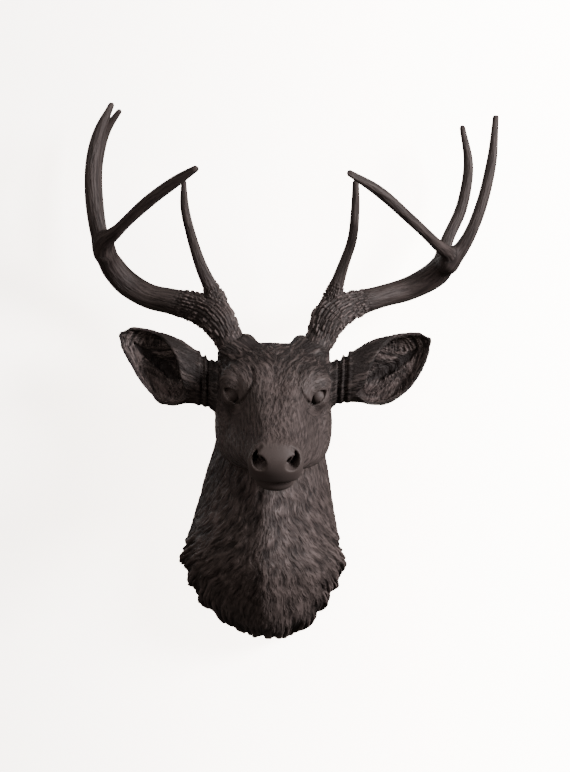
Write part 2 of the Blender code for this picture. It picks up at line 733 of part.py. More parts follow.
def add_object(name, vertices, faces):
    mesh = bpy.data.meshes.new(name)
    mesh.from_pydata([tuple(v) for v in vertices], [], [tuple(int(i) for i in f) for f in faces])
    obj = bpy.data.objects.new(name, mesh)
    bpy.context.collection.objects.link(obj)
    return obj


def thin_out(obj, triangles):
    """Keeps about this many triangles, most of them where the form turns sharply."""
    thinner = obj.modifiers.new("Thin out", "DECIMATE")
    thinner.ratio = triangles / (2 * len(obj.data.polygons))
    thinner.use_collapse_triangulate = True


def cut(obj, cutter, name):
    """Cuts the cutter out of the object, and leaves the cutter as a guide."""
    cutter.hide_render = True
    cutter.display_type = "WIRE"
    modifier = obj.modifiers.new(name, "BOOLEAN")
    modifier.operation = "DIFFERENCE"
    modifier.solver = "EXACT"
    modifier.object = cutter


def box(name, low, high):
    mesh = bmesh.new()
    bmesh.ops.create_cube(mesh, size=1)
    size = Vector(high) - Vector(low)
    centre = (Vector(high) + Vector(low)) / 2
    placed = Matrix.Translation(centre) @ Matrix.Diagonal((*size, 1))
    bmesh.ops.transform(mesh, matrix=placed, verts=mesh.verts)
    data = bpy.data.meshes.new(name)
    mesh.to_mesh(data)
    mesh.free()
    obj = bpy.data.objects.new(name, data)
    bpy.context.collection.objects.link(obj)
    return obj


def rod(name, start, end, radius, sides):
    """A plain cylinder from start to end."""
    start, end = Vector(start), Vector(end)
    mesh = bmesh.new()
    bmesh.ops.create_cone(
        mesh, cap_ends=True, segments=sides, radius1=radius, radius2=radius, depth=(end - start).length
    )
    data = bpy.data.meshes.new(name)
    mesh.to_mesh(data)
    mesh.free()
    obj = bpy.data.objects.new(name, data)
    obj.rotation_mode = "QUATERNION"
    obj.rotation_quaternion = (end - start).to_track_quat("Z", "Y")
    obj.location = (start + end) / 2
    bpy.context.collection.objects.link(obj)
    return obj


def resin(name):
    """Matt black paint over a casting."""
    material = bpy.data.materials.new(f"{name}_black_resin")
    material.use_nodes = True
    shader = material.node_tree.nodes["Principled BSDF"]
    shader.inputs["Base Color"].default_value = (0.021, 0.018, 0.017, 1)
    shader.inputs["Roughness"].default_value = 0.62
    shader.inputs["Metallic"].default_value = 0.0
    return material


def make_head():
    ear_tip = np.max([from_head(EAR_ROOT) + abs(ear_axes(side)[0]) * EAR_LENGTH for side in (-1, 1)], axis=0)
    side, fine = ear_tip[0] + MARGIN, FACE_CELL
    cheek = from_head((FINE_HALF_WIDTH, 0, 0))[0]
    jaw = from_head((0, 0, FINE_BOTTOM))[2]
    poll = -POLL_STANDOFF - MARGIN
    axes = (
        spaced(((-side, HEAD_CELL), (-cheek, fine), (cheek, HEAD_CELL), (side, 0))),
        spaced(((NOSE[1] - MARGIN, fine), (poll, HEAD_CELL), (BEHIND_WALL + MARGIN, 0))),
        spaced(((-NECK_DROP - MARGIN, HEAD_CELL), (jaw, fine), (ear_tip[2] + 2 * MARGIN, 0))),
    )
    head = add_object("head", *surface(casting, axes))
    head.data.materials.append(resin("head"))
    thin_out(head, HEAD_TRIANGLES)
    wide = 2 * ear_tip[0]
    cut(head, box("wall_side", (-wide, 0, -wide), (wide, wide, wide)), "Flat back")
    for name, (side, _) in ANTLERS.items():
        foot, up = foot_of(side)
        above = foot + up * 2 * SEAT_DEPTH
        socket = rod(f"socket_{name}", foot - up * SEAT_DEPTH, above, FOOT_RADIUS + SOCKET_GAP, 32)
        cut(head, socket, f"Socket of {name}")
    cut_keyhole(head)


def cut_keyhole(head):
    """A keyhole: the screw's head goes in at the round end, and its shank up the slot."""
    entry = Vector((0, 0, KEYHOLE_HEIGHT))
    top = entry + Vector((0, 0, KEYHOLE_RISE))
    inwards = Vector((0, -KEYHOLE_DEPTH, 0))
    out = Vector((0, BEHIND_WALL, 0))
    lip = Vector((0, -KEYHOLE_LIP, 0))
    shank, wide = KEYHOLE_SHANK_RADIUS, KEYHOLE_HEAD_RADIUS
    cut(head, rod("keyhole_entry", entry + inwards, entry + out, wide, 24), "Keyhole entry")
    floor = inwards.y * KEYHOLE_SLOT_DEPTH_SHARE
    slot = box("keyhole_slot", (-shank, floor, entry.z), (shank, BEHIND_WALL, top.z))
    cut(head, slot, "Keyhole slot")
    half = wide * KEYHOLE_POCKET_WIDTH_SHARE
    end = top.z + wide * KEYHOLE_POCKET_RISE_SHARE
    floor = inwards.y * KEYHOLE_POCKET_DEPTH_SHARE
    pocket = box("keyhole_pocket", (-half, floor, entry.z), (half, lip.y, end))
    cut(head, pocket, "Keyhole pocket")


def make_antler(name, side, branches):
    foot, up = foot_of(side)
    points = np.array([p[:3] for branch in branches for p in branch]) * ANTLER_UNIT + foot
    field = antler_field(side, branches)
    ends = zip(points.min(axis=0) - 3 * FOOT_RADIUS, points.max(axis=0) + 3 * FOOT_RADIUS)
    axes = [spaced(((low, ANTLER_CELL), (high, 0))) for low, high in ends]
    antler = add_object(name, *surface(field, axes))
    antler.data.materials.append(resin(name))
    thin_out(antler, ANTLER_TRIANGLES)
    seat = foot - up * (SEAT_DEPTH - SEAT_GAP)
    cut(antler, rod(f"seat_{name}", seat - up * 4 * FOOT_RADIUS, seat, 3 * FOOT_RADIUS, 16), "Flat foot")


def main():
    for obj in list(bpy.data.objects):
        bpy.data.objects.remove(obj, do_unlink=True)
    make_head()
    for name, (side, branches) in ANTLERS.items():
        make_antler(name, side, branches)


main()
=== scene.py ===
"""Looks of the faux deer head wall mount: a matt black resin casting with moulded fur and antlers.

The head casting and each antler are remade from the same solid fields as the CAD solids, on a
finer grid, and the relief of fur, eyelids, nostrils and antler pearling is moved into the mesh.
Metres, +Z up; the back lies in the plane y = 0 and the face looks along -Y.
"""

import math

import bpy
import numpy as np
from mathutils import Matrix, Vector


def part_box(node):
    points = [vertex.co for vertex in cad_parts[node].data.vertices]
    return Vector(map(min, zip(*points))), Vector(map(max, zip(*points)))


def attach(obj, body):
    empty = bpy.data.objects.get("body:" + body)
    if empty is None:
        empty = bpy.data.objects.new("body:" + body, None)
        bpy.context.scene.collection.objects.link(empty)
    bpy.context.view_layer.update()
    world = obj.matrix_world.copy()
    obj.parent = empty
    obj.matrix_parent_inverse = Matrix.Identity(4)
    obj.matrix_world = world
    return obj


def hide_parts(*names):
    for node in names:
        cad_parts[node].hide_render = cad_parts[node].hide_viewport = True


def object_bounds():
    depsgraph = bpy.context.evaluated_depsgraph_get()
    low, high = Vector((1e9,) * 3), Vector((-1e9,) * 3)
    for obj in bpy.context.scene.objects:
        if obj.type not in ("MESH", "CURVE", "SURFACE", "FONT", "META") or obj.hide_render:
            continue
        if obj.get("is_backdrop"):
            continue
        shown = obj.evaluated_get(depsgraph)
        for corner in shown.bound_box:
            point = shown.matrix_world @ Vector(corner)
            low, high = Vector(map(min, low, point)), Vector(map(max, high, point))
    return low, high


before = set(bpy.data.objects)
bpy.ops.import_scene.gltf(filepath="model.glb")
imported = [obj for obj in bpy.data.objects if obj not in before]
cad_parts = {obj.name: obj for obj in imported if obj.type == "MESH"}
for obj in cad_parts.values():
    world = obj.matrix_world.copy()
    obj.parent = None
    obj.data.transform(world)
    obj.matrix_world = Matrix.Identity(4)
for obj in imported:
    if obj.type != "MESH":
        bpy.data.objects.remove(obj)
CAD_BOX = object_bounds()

# Head: the face from the nose back to the poll, and where the poll stands off the wall.
HEAD_LENGTH = 0.195
HEAD_PITCH_DEG = 37.5
POLL_STANDOFF = 0.090
POLL_HEIGHT = 0.114

# Ears: length from the root to the tip, how the ear stands off the head, its wall and its creases.
EAR_LENGTH = 0.1126
EAR_RISE_DEG = {-1: 28.0, 1: 26.6}
EAR_BACK_DEG = -4.0
EAR_WALL = 0.0046
EAR_CREASES = (9.0, 16.0)
EAR_CREASE_DEPTH = 0.0022

# Neck: from the origin down to the lowest fur, its greatest half width and depth, its ridge and its locks.
NECK_DROP = 0.203
NECK_HALF_WIDTH = 0.0855
NECK_DEPTH = 0.106
NECK_RIDGE_RADIUS = 0.004
LOCK_DEPTH = 0.0045

# Antlers: overall height above the foot, the foot with its straight stretch and how far it runs on before its
# end is cut flat, and the head's socket and collar round it.
ANTLER_HEIGHT = 0.235
FOOT_RADIUS = 0.0145
SEAT_DEPTH = 0.012
COLLAR_WALL = 0.0033
COLLAR_DROP = 0.015
SEAT_GAP = 0.0003
FOOT_STRAIGHT = 0.009
FOOT_RUN_ON = 0.01

# Keyhole in the back, for the head and shank of a wood screw.
KEYHOLE_HEIGHT = 0.030
KEYHOLE_HEAD_RADIUS = 0.0065
KEYHOLE_SHANK_RADIUS = 0.0032
KEYHOLE_RISE = 0.014
KEYHOLE_LIP = 0.004
KEYHOLE_DEPTH = 0.013
# Slot: its depth as a share of the entry's. Pocket: its depth and its half width as shares of the entry's,
# and how far it runs past the slot, as a share of the entry's radius.
KEYHOLE_SLOT_DEPTH_SHARE = 0.9
KEYHOLE_POCKET_DEPTH_SHARE = 0.98
KEYHOLE_POCKET_WIDTH_SHARE = 0.9
KEYHOLE_POCKET_RISE_SHARE = 0.5

# Fillets: where the forms of the head's casting meet, where an ear meets it, at an antler's forks, and at its
# foot.
CASTING_FILLET = 0.012
EAR_FILLET = 0.005
FORK_FILLET = 0.007
FOOT_FILLET = 0.0005

# How far behind the wall's plane the forms run on, so that the back can be cut flat.
BEHIND_WALL = 0.012

HEAD_UNIT = HEAD_LENGTH / 195
EAR_UNIT = EAR_LENGTH / 108.6
NECK_UNIT = NECK_DROP / 203
ANTLER_UNIT = ANTLER_HEIGHT / 235

PITCH = math.radians(HEAD_PITCH_DEG)
BACKWARD = np.array([0, math.cos(PITCH), math.sin(PITCH)])
UPWARD = np.array([0, -math.sin(PITCH), math.cos(PITCH)])
NOSE = np.array([0, -POLL_STANDOFF, POLL_HEIGHT]) - BACKWARD * HEAD_LENGTH

# Face sections, back from the nose: (place, top, bottom, upper half width, lower half width, squareness).
FACE_SECTIONS = (
    (-8, -7, -46, 19, 15, 2.4),
    (0, -1, -48, 21.5, 21, 2.8),
    (10, 2, -50, 22.5, 24, 2.8),
    (25, 2, -53, 22.5, 26, 2.5),
    (45, 1, -62, 23, 33, 2.6),
    (65, 1, -74, 26, 41, 2.9),
    (85, 2, -89, 28, 49, 3.4),
    (105, 4, -103, 33, 56, 3.6),
    (117, 5, -110, 39, 57, 3.6),
    (130, 6, -115, 47.5, 57.5, 3.6),
    (145, 5, -118, 54, 57.5, 3.3),
    (165, 1, -111, 55.5, 56, 2.7),
    (185, -7, -98, 54, 56, 2.5),
    (205, -21, -82, 45, 48, 2.3),
    (225, -40, -64, 24, 28, 2.2),
)
# Profile of the muzzle's front: (height, how far back it lies).
MUZZLE_FRONT = (
    (-54, 18),
    (-49, 9),
    (-43, 5.5),
    (-37.5, 4.5),
    (-32.5, 1.0),
    (-24, -1),
    (-12, -1),
    (-5, 2),
    (2, 9),
)

# The face's round front, the end of the skull, and the blend between the ends and the sides.
MUZZLE_ROUND = 0.012
SKULL_END = 222
SKULL_BLEND = 6

# How far the face stands to the right of the centre line, and between which places that shift dies away.
FACE_SHIFT = 1.4
FACE_SHIFT_FADE = (140, 200)

# Soft forms of the face: (middle, radii, blend). The hollow and the dip are cut, and the others added.
NOSE_PAD = ((0, 13, -17.3), (24, 14, 17.3), 11)
LOWER_LIP = ((0, 20, -42.5), (19.5, 16, 10), 3)
CHEEK = ((44, 136, -74), (13, 28, 28), 10)
EYE_HOLLOW = ((40, 86, -14), (7, 20, 10), 9)
ANTLER_FUR = ((26, 190, -13), (8, 13, 9), 6)
BRIDGE_DIP = ((0, 104, 24), (12, 34, 21), 10)

# Nostril: its pit, the slit over it with its deeper part, and the fold in it, each with its blend.
# Mouth: its line back along the lip.
NOSTRIL_PIT_BLEND = 1.0
NOSTRIL_SLIT_BLEND = 0.8
NOSTRIL_FOLD_BLEND = 0.6
MOUTH_BLEND = 2
NOSTRIL_PIT = ((16.2, -3, -9.5, 7.4), (13.5, 20, -13, 5.0))
NOSTRIL_SLIT = ((20.5, 6, -8.5, 3.0), (19.0, 10, -3.0, 2.6), (15.5, 11.5, 0.5, 2.2))
NOSTRIL_SLIT_DEEP = ((19, 12, -9, 3.0), (17.5, 15, -5.5, 2.4), (15, 16, -3.5, 1.8))
NOSTRIL_FOLD = ((12, 11, -15, 1.6), (14.5, 10, -10, 1.3), (16, 10.5, -6, 1.0))
MOUTH = (
    (0, 1.0, -33.4, 1.8),
    (12, 4, -33.8, 1.8),
    (19, 12, -36, 1.8),
    (24.5, 28, -41, 1.6),
    (32, 48, -48, 1.0),
)

# Line of the mouth: its height at the front, and from where and how steeply it falls. Chin: how far it draws
# in under that line, over what height, and between which places that dies away.
MOUTH_LINE = -33.8
MOUTH_FALL_START = 12
MOUTH_FALL = 0.22
CHIN_TUCK = 0.22
CHIN_EDGE = 3.5
CHIN_FADE = (32, 56)

# Eye: middle of its lids' ball, where it looks, and the direction from its inner to its outer corner; its
# lids and eyeball; and the opening between the lids.
EYE = (39.4, 122, -24.5)
EYE_LOOK = (0.45, -0.64, 0.62)
EYE_SLANT = (0.66, 0.71, 0.26)
EYE_LID_RADIUS = 13.6
EYE_BALL_RADIUS = 7.4
EYE_BALL_FORWARD = 4.2
EYE_HALF_LENGTH = 11.0
EYE_HALF_HEIGHT = 5.2
EYE_OPENING_SHIFT = (-3.7, 0.6)
EYE_OPENING_FLOOR = 3
EYE_OPENING_BLEND = 1.0
EYE_LID_BLEND = 5
# The mound over the eye, the pad on its inner side, and the crease between it and the bridge of the nose.
MOUND = ((39, 131, -15), (16, 17, 15), 9)
PAD_BLEND = 3
PAD_CREASE_BLEND = 1.5
PAD = ((34, 134, -4, 6.5), (29.5, 121, -5.5, 6.8), (28.5, 112, -9.5, 5.6), (33, 107.5, -16.5, 3.2))
PAD_CREASE = (
    (25, 131, 4, 1.0),
    (22.3, 122, 3, 1.5),
    (22.7, 107, -1, 1.6),
    (28, 102, -10, 1.5),
    (32, 104, -18, 1.2),
)

# Neck outline on the wall and its ridge, up from the origin: (height, half width share, depth share, lean).
NECK_SECTIONS = (
    (-203.5, 0.03, 0.06, 3),
    (-202, 0.20, 0.20, 3),
    (-197, 0.36, 0.37, 1.5),
    (-190, 0.495, 0.50, 1),
    (-176, 0.69, 0.66, -1),
    (-165, 0.79, 0.76, -3),
    (-147, 0.90, 0.88, -4.4),
    (-132, 0.98, 0.95, -4.2),
    (-121, 1.0, 0.98, -5),
    (-106, 0.96, 1.0, -5.4),
    (-88, 0.902, 1.0, -4.3),
    (-59, 0.822, 0.99, -3),
    (-25, 0.735, 0.97, -1.8),
    (0, 0.67, 0.95, 0),
    (35, 0.63, 0.90, 0),
    (60, 0.55, 0.80, 0),
    (78, 0.42, 0.62, 0),
    (90, 0.22, 0.36, 0),
    (97, 0.03, 0.08, 0),
)
# How square the neck's sides, its front and the turn between them are, the share of its size that gives the
# distances in its field, and how flat its ridge is.
NECK_SIDES_POWER = 1.2
NECK_FRONT_POWER = 1.9
NECK_TURN_POWER = 1.6
NECK_FIELD_SHARE = 0.8
NECK_RIDGE_FLAT = 0.7
# Locks: the height that they fan out from, their number and wander round it, how much of each stands proud,
# and the height and the share of the neck's depth over which they come up.
LOCK_MIDDLE = 0.45
LOCKS_TO_A_HALF_TURN = 11.5
LOCK_WANDER = 0.35
LOCK_WANDER_RATE = 7
LOCK_LEVEL = 0.45
LOCK_FADE = (95, 155)
LOCK_FADE_DEPTH = 0.75

# Ear sections out from the root: (place, middle, half height, half depth, upper rim angle, lower rim angle).
EAR_SECTIONS = (
    (-14, 1, 17.2, 13, -33, -33),
    (0, 0, 18, 14, -33, -33),
    (12, -1.4, 19.8, 15, -33, -33),
    (19, -2, 21.6, 16, -32, -37),
    (28, -4.5, 24.8, 17, -12, -84),
    (40, -6.3, 27.5, 18, 14, -93),
    (54, -5.8, 28.0, 18, 38, -95),
    (66, -5.4, 26.2, 16.5, 56, -96),
    (76, -4.6, 23, 15, 78, -96),
    (88, -2.8, 17.6, 10, 86, -95),
    (97, -0.6, 11.8, 6, 88, -95),
    (102.5, 0.4, 6.4, 3, 88, -95),
    (105.5, 0.4, 1.5, 1, 88, -95),
)
EAR_ROOT = (56.5, 168, -49)
# How far each ear is shifted from that root, and how far its lower edge hangs down: (place, drop). The drop
# comes in over this height.
EAR_SHIFT = {-1: (0, 0, -2.3), 1: (2, 0, 1)}
EAR_SAG = {
    -1: ((-14, 0), (14, 1), (30, 4), (42, 3.2), (56, -0.8), (70, -3), (84, -4.5), (97, -2.5), (105.5, 0)),
    1: ((-14, -2.5), (6, -2.5), (20, 0), (105.5, 0)),
}
EAR_SAG_HEIGHT = 40
# Filled root: how far it runs past the last crease, and its blend. Swelling behind the ear: (middle, radii,
# blend). Channel in the ear: (out, up, towards the opening, radius).
EAR_ROOT_RUN = 4
EAR_ROOT_BLEND = 3
EAR_SWELLING = ((50, -7, -13), (44, 22, 8), 5)
EAR_CHANNEL = ((30, -12, 0, 2), (46, -11, -5, 3.4), (66, -4, -5, 3), (80, 0, -2, 1.4))
EAR_CHANNEL_BLEND = 3
# Creases: their width, and the heights over which they fade to this share at the lower edge.
EAR_CREASE_WIDTH = 1.8
EAR_CREASE_FADE = (-14, -9)
EAR_CREASE_LEAST = 0.3

# Antler branches up from the centre of the foot: (across, back, up, radius).
BEAM_LEFT = (
    (0, 0, 0, 14.5),
    (-12.2, 6, 20.5, 17.3),
    (-28.5, 14, 30.5, 15.4),
    (-59.5, 28, 38.5, 13.4),
    (-83.5, 37, 44.2, 12.8),
    (-106.3, 37, 57.4, 13.0),
    (-122, 24, 76, 11.6),
    (-127, 3, 92.5, 9.8),
    (-111, -24, 107, 6.1),
    (-79.5, -53, 133.5, 6.2),
    (-52.5, -73, 151.5, 5.4),
    (-35.5, -86, 161, 3.5),
)
BROW_LEFT = (
    (-12, 11, 40, 9.1),
    (-21, 8, 56, 7.5),
    (-30, 2, 75, 6.2),
    (-40, -10, 103.5, 4.9),
    (-47, -20, 132.5, 4.3),
    (-48, -27, 154.5, 2.8),
)
REAR_LEFT = (
    (-121, 33, 73.5, 9.2),
    (-133, 42, 104.5, 7.8),
    (-139, 46, 141.5, 6.9),
    (-138.8, 46, 182.5, 6.1),
    (-130.2, 42, 213, 4.8),
    (-117, 34, 231, 2.8),
)
FRONT_LEFT = (
    (-127.5, 10, 86, 9.6),
    (-134.5, 2, 112.5, 8.6),
    (-140, 0, 147, 7.8),
    (-140, 0, 177.5, 7.0),
    (-134, 2, 207.5, 5.8),
    (-123, 3, 233, 3.2),
)
BEAM_RIGHT = (
    (0, 0, 0, 14.5),
    (9.6, 6, 22.5, 17.3),
    (27.5, 15, 35.2, 14.8),
    (63, 30, 48, 11.5),
    (94.5, 38, 58.2, 12.2),
    (121, 29, 74.3, 13.0),
    (130.5, 6, 88.5, 8.2),
    (114, -22, 100, 5.6),
    (84, -52, 122, 5.3),
    (50, -74, 146.5, 5.3),
    (23, -88, 160, 3.4),
)
BROW_RIGHT = (
    (12.5, 12, 42, 9.6),
    (17.8, 8, 59, 7.3),
    (24.4, 2, 80, 5.6),
    (31, -6, 102.5, 4.9),
    (33, -16, 132, 4.4),
    (32.5, -24, 158, 3.4),
)
REAR_RIGHT = (
    (122, 32, 75, 9.0),
    (131, 40, 105.5, 6.8),
    (147, 46, 145, 6.0),
    (152.5, 45, 186.5, 5.1),
    (145, 38, 223.5, 3.1),
)
FRONT_RIGHT = (
    (130.5, 8, 81.5, 9.7),
    (146.5, 2, 104, 7.0),
    (161, 0, 141.5, 5.9),
    (170, 0, 182, 5.3),
    (173.5, -3, 229, 3.3),
)
ANTLERS = {
    "antler_left": (-1, (BEAM_LEFT, BROW_LEFT, REAR_LEFT, FRONT_LEFT)),
    "antler_right": (1, (BEAM_RIGHT, BROW_RIGHT, REAR_RIGHT, FRONT_RIGHT)),
}
PEDICLE = (45, 192, -9)
FOOT_LEAN_DEG = 26.0
FOOT_BACK_DEG = 14.0
# Steps of a smooth route: at the eye, and for each point of an antler's branch.
EYE_ROUTE_STEPS = 16
BRANCH_STEPS = 6

# Grids, their margin in cells, and the triangles kept in each piece.
HEAD_GRID = 0.00115
ANTLER_GRID = 0.0008
MARGIN_CELLS = 4
PIECE_TRIANGLES = 196000
# Gap seen round an antler's foot, and how far past its rim the socket is cut.
VISIBLE_SOCKET_GAP = 0.0003
SOCKET_REACH = 0.03
MM = 0.001

# Factors and shifts that scatter the cells of the noise.
HASH_PRIMES = (73856093, 19349663, 83492791, 2654435761)
HASH_STEPS = ((13, 1274126177), (16, 2246822519))
HASH_LIMIT = 0xFFFFFFFF
# Strands: how steep a flow may be, and how one size gives way to the next.
FLOW_STEEPNESS = (0.1, 8)
LEVEL_BLEND = (0.15, 0.85)
LEVEL_SHIFT = 5.3
# Tufts with finer tufts on them, and the furrows of the fringe with their size in mm.
TUFT_EDGE = (0.2, 0.8)
FINE_TUFTS = 0.4
FURROW_SIZE = (3.0, 45)
FURROW_EDGE = 0.28
# Curls of the hair, in mm: (how far aside, how long, seed).
FACE_CURL = ((4, 14, 3), (0.8, 6, 4))
NECK_CURL = ((5.5, 14, 9), (1.2, 6, 8))
LID_CURL = ((2.5, 9, 14),)
EAR_CURL = ((2.2, 14, 31), (0.3, 5, 32))

# Hair of the face: straight round an axis under it, and turned outwards over the brow.
FACE_AXIS_DROP = 20
BROW_TURN_DEG = 25
BROW_TURN_PLACES = (100, 140)
FACE_PLACES = (-20, 230, 126)
# Hair of the neck: round an axis behind the wall, fanned out lower down, and calmer in the fringe.
NECK_AXIS_SHARE = 0.35
NECK_FAN_TOP = -0.090
NECK_FAN_START = 12
NECK_FAN_SOFTNESS = 45
NECK_FAN_SIZE = 35
NECK_FAN_STRENGTH = 1.6
NECK_HAIR_START = 60
FRINGE_CALM = 0.75
# Folds of skin in rings round the eye.
LID_STRETCH = 1.3
LID_RADIUS = 14
LID_FOLDS_START = (5, 7)
LID_FOLDS_END = (14, 24)
LID_FLOW_SHIFT = 400
LID_SMOOTHNESS = 0.4
# Smooth skin of the nose, lips, eyes and pads: where it ends, and its tone.
NOSE_SKIN_SLOPE = 0.35
NOSE_SKIN_END = (2, 34)
LIP_SKIN_END = (30, 44)
LIP_SKIN_TOP = (-38, -30)
EYEBALL_EDGE = (6, 8)
PAD_SKIN_EDGE = (-1, 2)
SKIN_TONE = 0.6
# Hair of the ears: inside them it slants from the rims towards the tip.
EAR_HAIR_REACH = (-14, 105)
EAR_INSIDE_EDGE = (0.01, 0.07)
EAR_INSIDE_START = (20, 30)
EAR_INSIDE_CURL = 0.4
EAR_HAIR_SLANT = 0.8
EAR_FLOW_SHIFT = 200
# Channel down an ear, cut in and darkened with painted shade: its widths are shares of the ear's half height,
# it starts and ends at places out from the root, and its depth is in mm. Barbs make its edge ragged.
CHANNEL_MIDDLE = -0.04
CHANNEL_HALF_WIDTH = 0.17
CHANNEL_EDGE = 0.05
CHANNEL_LEAST = 0.01
CHANNEL_START = (32, 46)
CHANNEL_END = (78, 96)
CHANNEL_DEPTH = 2.6
CHANNEL_PAINTED_SHADE = 0.4
BARB_WIDTH = 2.4
BARB_LENGTH = 0.12
BARB_SHIFT = 7
# Fold of skin inside an ear's lower rim, and the creases at its root, each cut in and darkened with painted
# shade.
FOLD_MIDDLE = -0.72
FOLD_WIDTH = 0.05
FOLD_DEPTH = 0.9
FOLD_PAINTED_SHADE = 0.6
CREASE_RELIEF = 0.9
CREASE_PAINTED_SHADE = 0.9

# Where the parts of the head begin and end: in metres, and in head units for the brow and the cheek. The
# back is also told by how far its normal turns to the wall.
NECK_EDGE = (-0.004, 0.008)
EAR_EDGE = (-0.003, -0.0005)
BACK_EDGE = (-0.0006, -0.0001)
BACK_FACING = (0.7, 0.9)
FRINGE_TOP = (0.078, 0.115)
FRINGE_FRONT = (-0.064, -0.026)
BROW_START = (105, 150)
BROW_FOOT = (-60, -20)
CHEEK_TOP = (35, 70)
# How much the flows of face and ears count, and the lead that a flow needs over the next one.
FACE_SHARE = 0.5
EAR_SHARE = 2
SEAM_EDGE = (0.03, 0.3)
EAR_SEAM_EDGE = (0.1, 0.45)
# Coat: what each part of the head adds to its tufts' (width, length and depth in mm, contrast, tone).
# The contrast gives painted shade in the tufts' grooves and painted highlight on their tops; the tone gives
# painted light on the cheeks and inside the ears, and makes the brow and the outside of the ears darker.
COAT = {
    "face": (2.5, 6.5, 0.38, 0.38, 0.5),
    "brow": (0, 2, 0.6, 1.1, -0.5),
    "cheek": (0, 0, 0, 0, 0.16),
    "neck": (1.2, 4, 0.9, 0.6, 0),
    "fringe": (0, 0, 2.8, 0.35, 0),
    "ear": (1.0, 10, -0.25, -0.1, -0.25),
    "inside of the ear": (-1.1, 6, 0.7, 1.2, 0.5),
    "lids": (0, 0, -0.2, 0, 0),
}
# Level of the relief that leaves the surface where it is.
RELIEF_LEVEL = 0.6

# How far out a branch is looked for, in radii, and a usual radius in mm.
BRANCH_REACH = 2.5
BRANCH_RADIUS = 8
# Where the pearls end along the beam and the brow tine, and the foot that stays plain.
PEARLED_BEAM = (0.050, 0.070)
PEARLED_TINE = (0.006, 0.028)
FOOT_EDGE = (-0.001, 0.002)
# Pearls in rows, PEARL_ROWS to a half turn: one antler has clear rows, the other grains. Sizes are
# in mm.
PEARL_ROWS = 13
ROW_WANDER = {"antler_left": 2.2, "antler_right": 4.0}
ROW_WANDER_SIZE = (9, 13)
GROOVE_SHARE = {"antler_left": 0.8, "antler_right": 0.85}
ROW_EDGE = (0.08, 0.75)
PEARL_WIDTH = 3.1
PEARL_LENGTH = {"antler_left": 5.5, "antler_right": 3.6}
DOME_SHARE = 0.7
PEARL_EDGE = (0.02, 0.6)
PEBBLE_SCATTER = 0.8
PEBBLE_EDGE = 0.8
PEARL_LEVEL = 0.55
PEARL_HEIGHT = 3.4
# Grain of the smooth branches; the tones of pearls and grain: (lowest, rise), painted shade in the grooves
# between the pearls and in the grain's hollows, lighter on their tops; and their share of fine hair.
GRAIN_SIZE = (3.2, 34)
GRAIN_HEIGHT = 0.6
PEARL_PAINTED_SHADE = (-0.45, 1.6)
GRAIN_TONE_AND_PAINTED_SHADE = (0.12, 0.35)
PEARL_HAIR = 0.25
GRAIN_HAIR = 0.7

# Resin: its finest hair in mm; what lightens its paint: the hair and the relief, as painted shade in their
# hollows and painted highlight on their tops, random patches of wear, and bare skin; and the tones from
# darkest to lightest.
HEAD_HAIR = (2.6, 10.0)
ANTLER_HAIR = (2.6, 22.0)
HAIR_NOISE = {"Scale": 1.0, "Detail": 2.0, "Roughness": 0.6}
HAIR_EDGE = (0.33, 0.62)
PATCH_NOISE = {"Scale": 30.0, "Detail": 4.0}
HAIR_PAINTED_SHADE = 0.30
RELIEF_TONE_AND_PAINTED_SHADE = 0.42
PATCH_WEAR = 0.25
SKIN_WEAR = 0.2
TONES = (
    (0.24, (0.0072, 0.0050, 0.0046, 1)),
    (0.56, (0.0275, 0.0205, 0.0190, 1)),
    (0.89, (0.060, 0.0455, 0.043, 1)),
)

# Wall: it gives light of itself, painted light that rises from its left to its right as if the window lit it,
# to stay pale behind a dark object.
WALL_PAINT = {
    "Base Color": (0.86, 0.85, 0.84, 1),
    "Roughness": 0.9,
    "Specular IOR Level": 0.1,
    "Emission Color": (1.0, 0.90, 0.81, 1),
}
WALL_SIZE = 6.0
WALL_GAP = 0.0005
WALL_GLOW = (4.0, 12.0)
WALL_GLOW_REACH = 0.45
# The photograph's view: what the camera looks at, from how far, and how it is turned.
VIEW_TARGET = Vector((0.0145, 0, 0.060))
VIEW_DISTANCE = 2.0
VIEW_TURN_DEG = -1.5
VIEW_ROLL_DEG = 1.2
VIEW_LENS_MM = 120.3
# Soft lights: (name, place, size, power, colour), all aimed at one place.
LIGHT_AIM = (0, -0.1, 0.05)
LIGHTS = (
    ("window", (1.95, -1.4, 0.85), 0.8, 275, (1.0, 0.99, 1.0)),
    ("ceiling", (-0.9, -1.1, 2.4), 1.0, 50, (1.0, 0.97, 0.94)),
    ("room", (-1.1, -2.4, 0.4), 1.6, 34, (1.0, 0.93, 0.88)),
    ("behind", (-1.2, 1.8, 1.2), 1.5, 30, (1.0, 1.0, 1.0)),
)


def curve(at, places, values):
    """Smooth value at each place, through the given values at the given places."""
    places, values = np.asarray(places, float), np.asarray(values, float)
    slope = np.gradient(values, places)
    i = np.clip(np.searchsorted(places, at) - 1, 0, len(places) - 2)
    width = places[i + 1] - places[i]
    u = np.clip((at - places[i]) / width, 0, 1)
    rise = values[i + 1] - values[i]
    start, end = slope[i] * width, slope[i + 1] * width
    return values[i] + u * (start + u * (3 * rise - 2 * start - end + u * (start + end - 2 * rise)))


def section(at, table):
    """Each column of a table of sections, read at the given places."""
    columns = np.array(table, float).T
    return [curve(at, columns[0], column) for column in columns[1:]]


def join(a, b, blend):
    """Union of two fields with a fillet of about this size."""
    h = np.clip(0.5 + 0.5 * (b - a) / blend, 0, 1)
    return b + (a - b) * h - blend * h * (1 - h)


def carve(a, b, blend):
    """Field a with field b cut out of it, and the edge eased by about this size."""
    return -join(-a, b, blend)


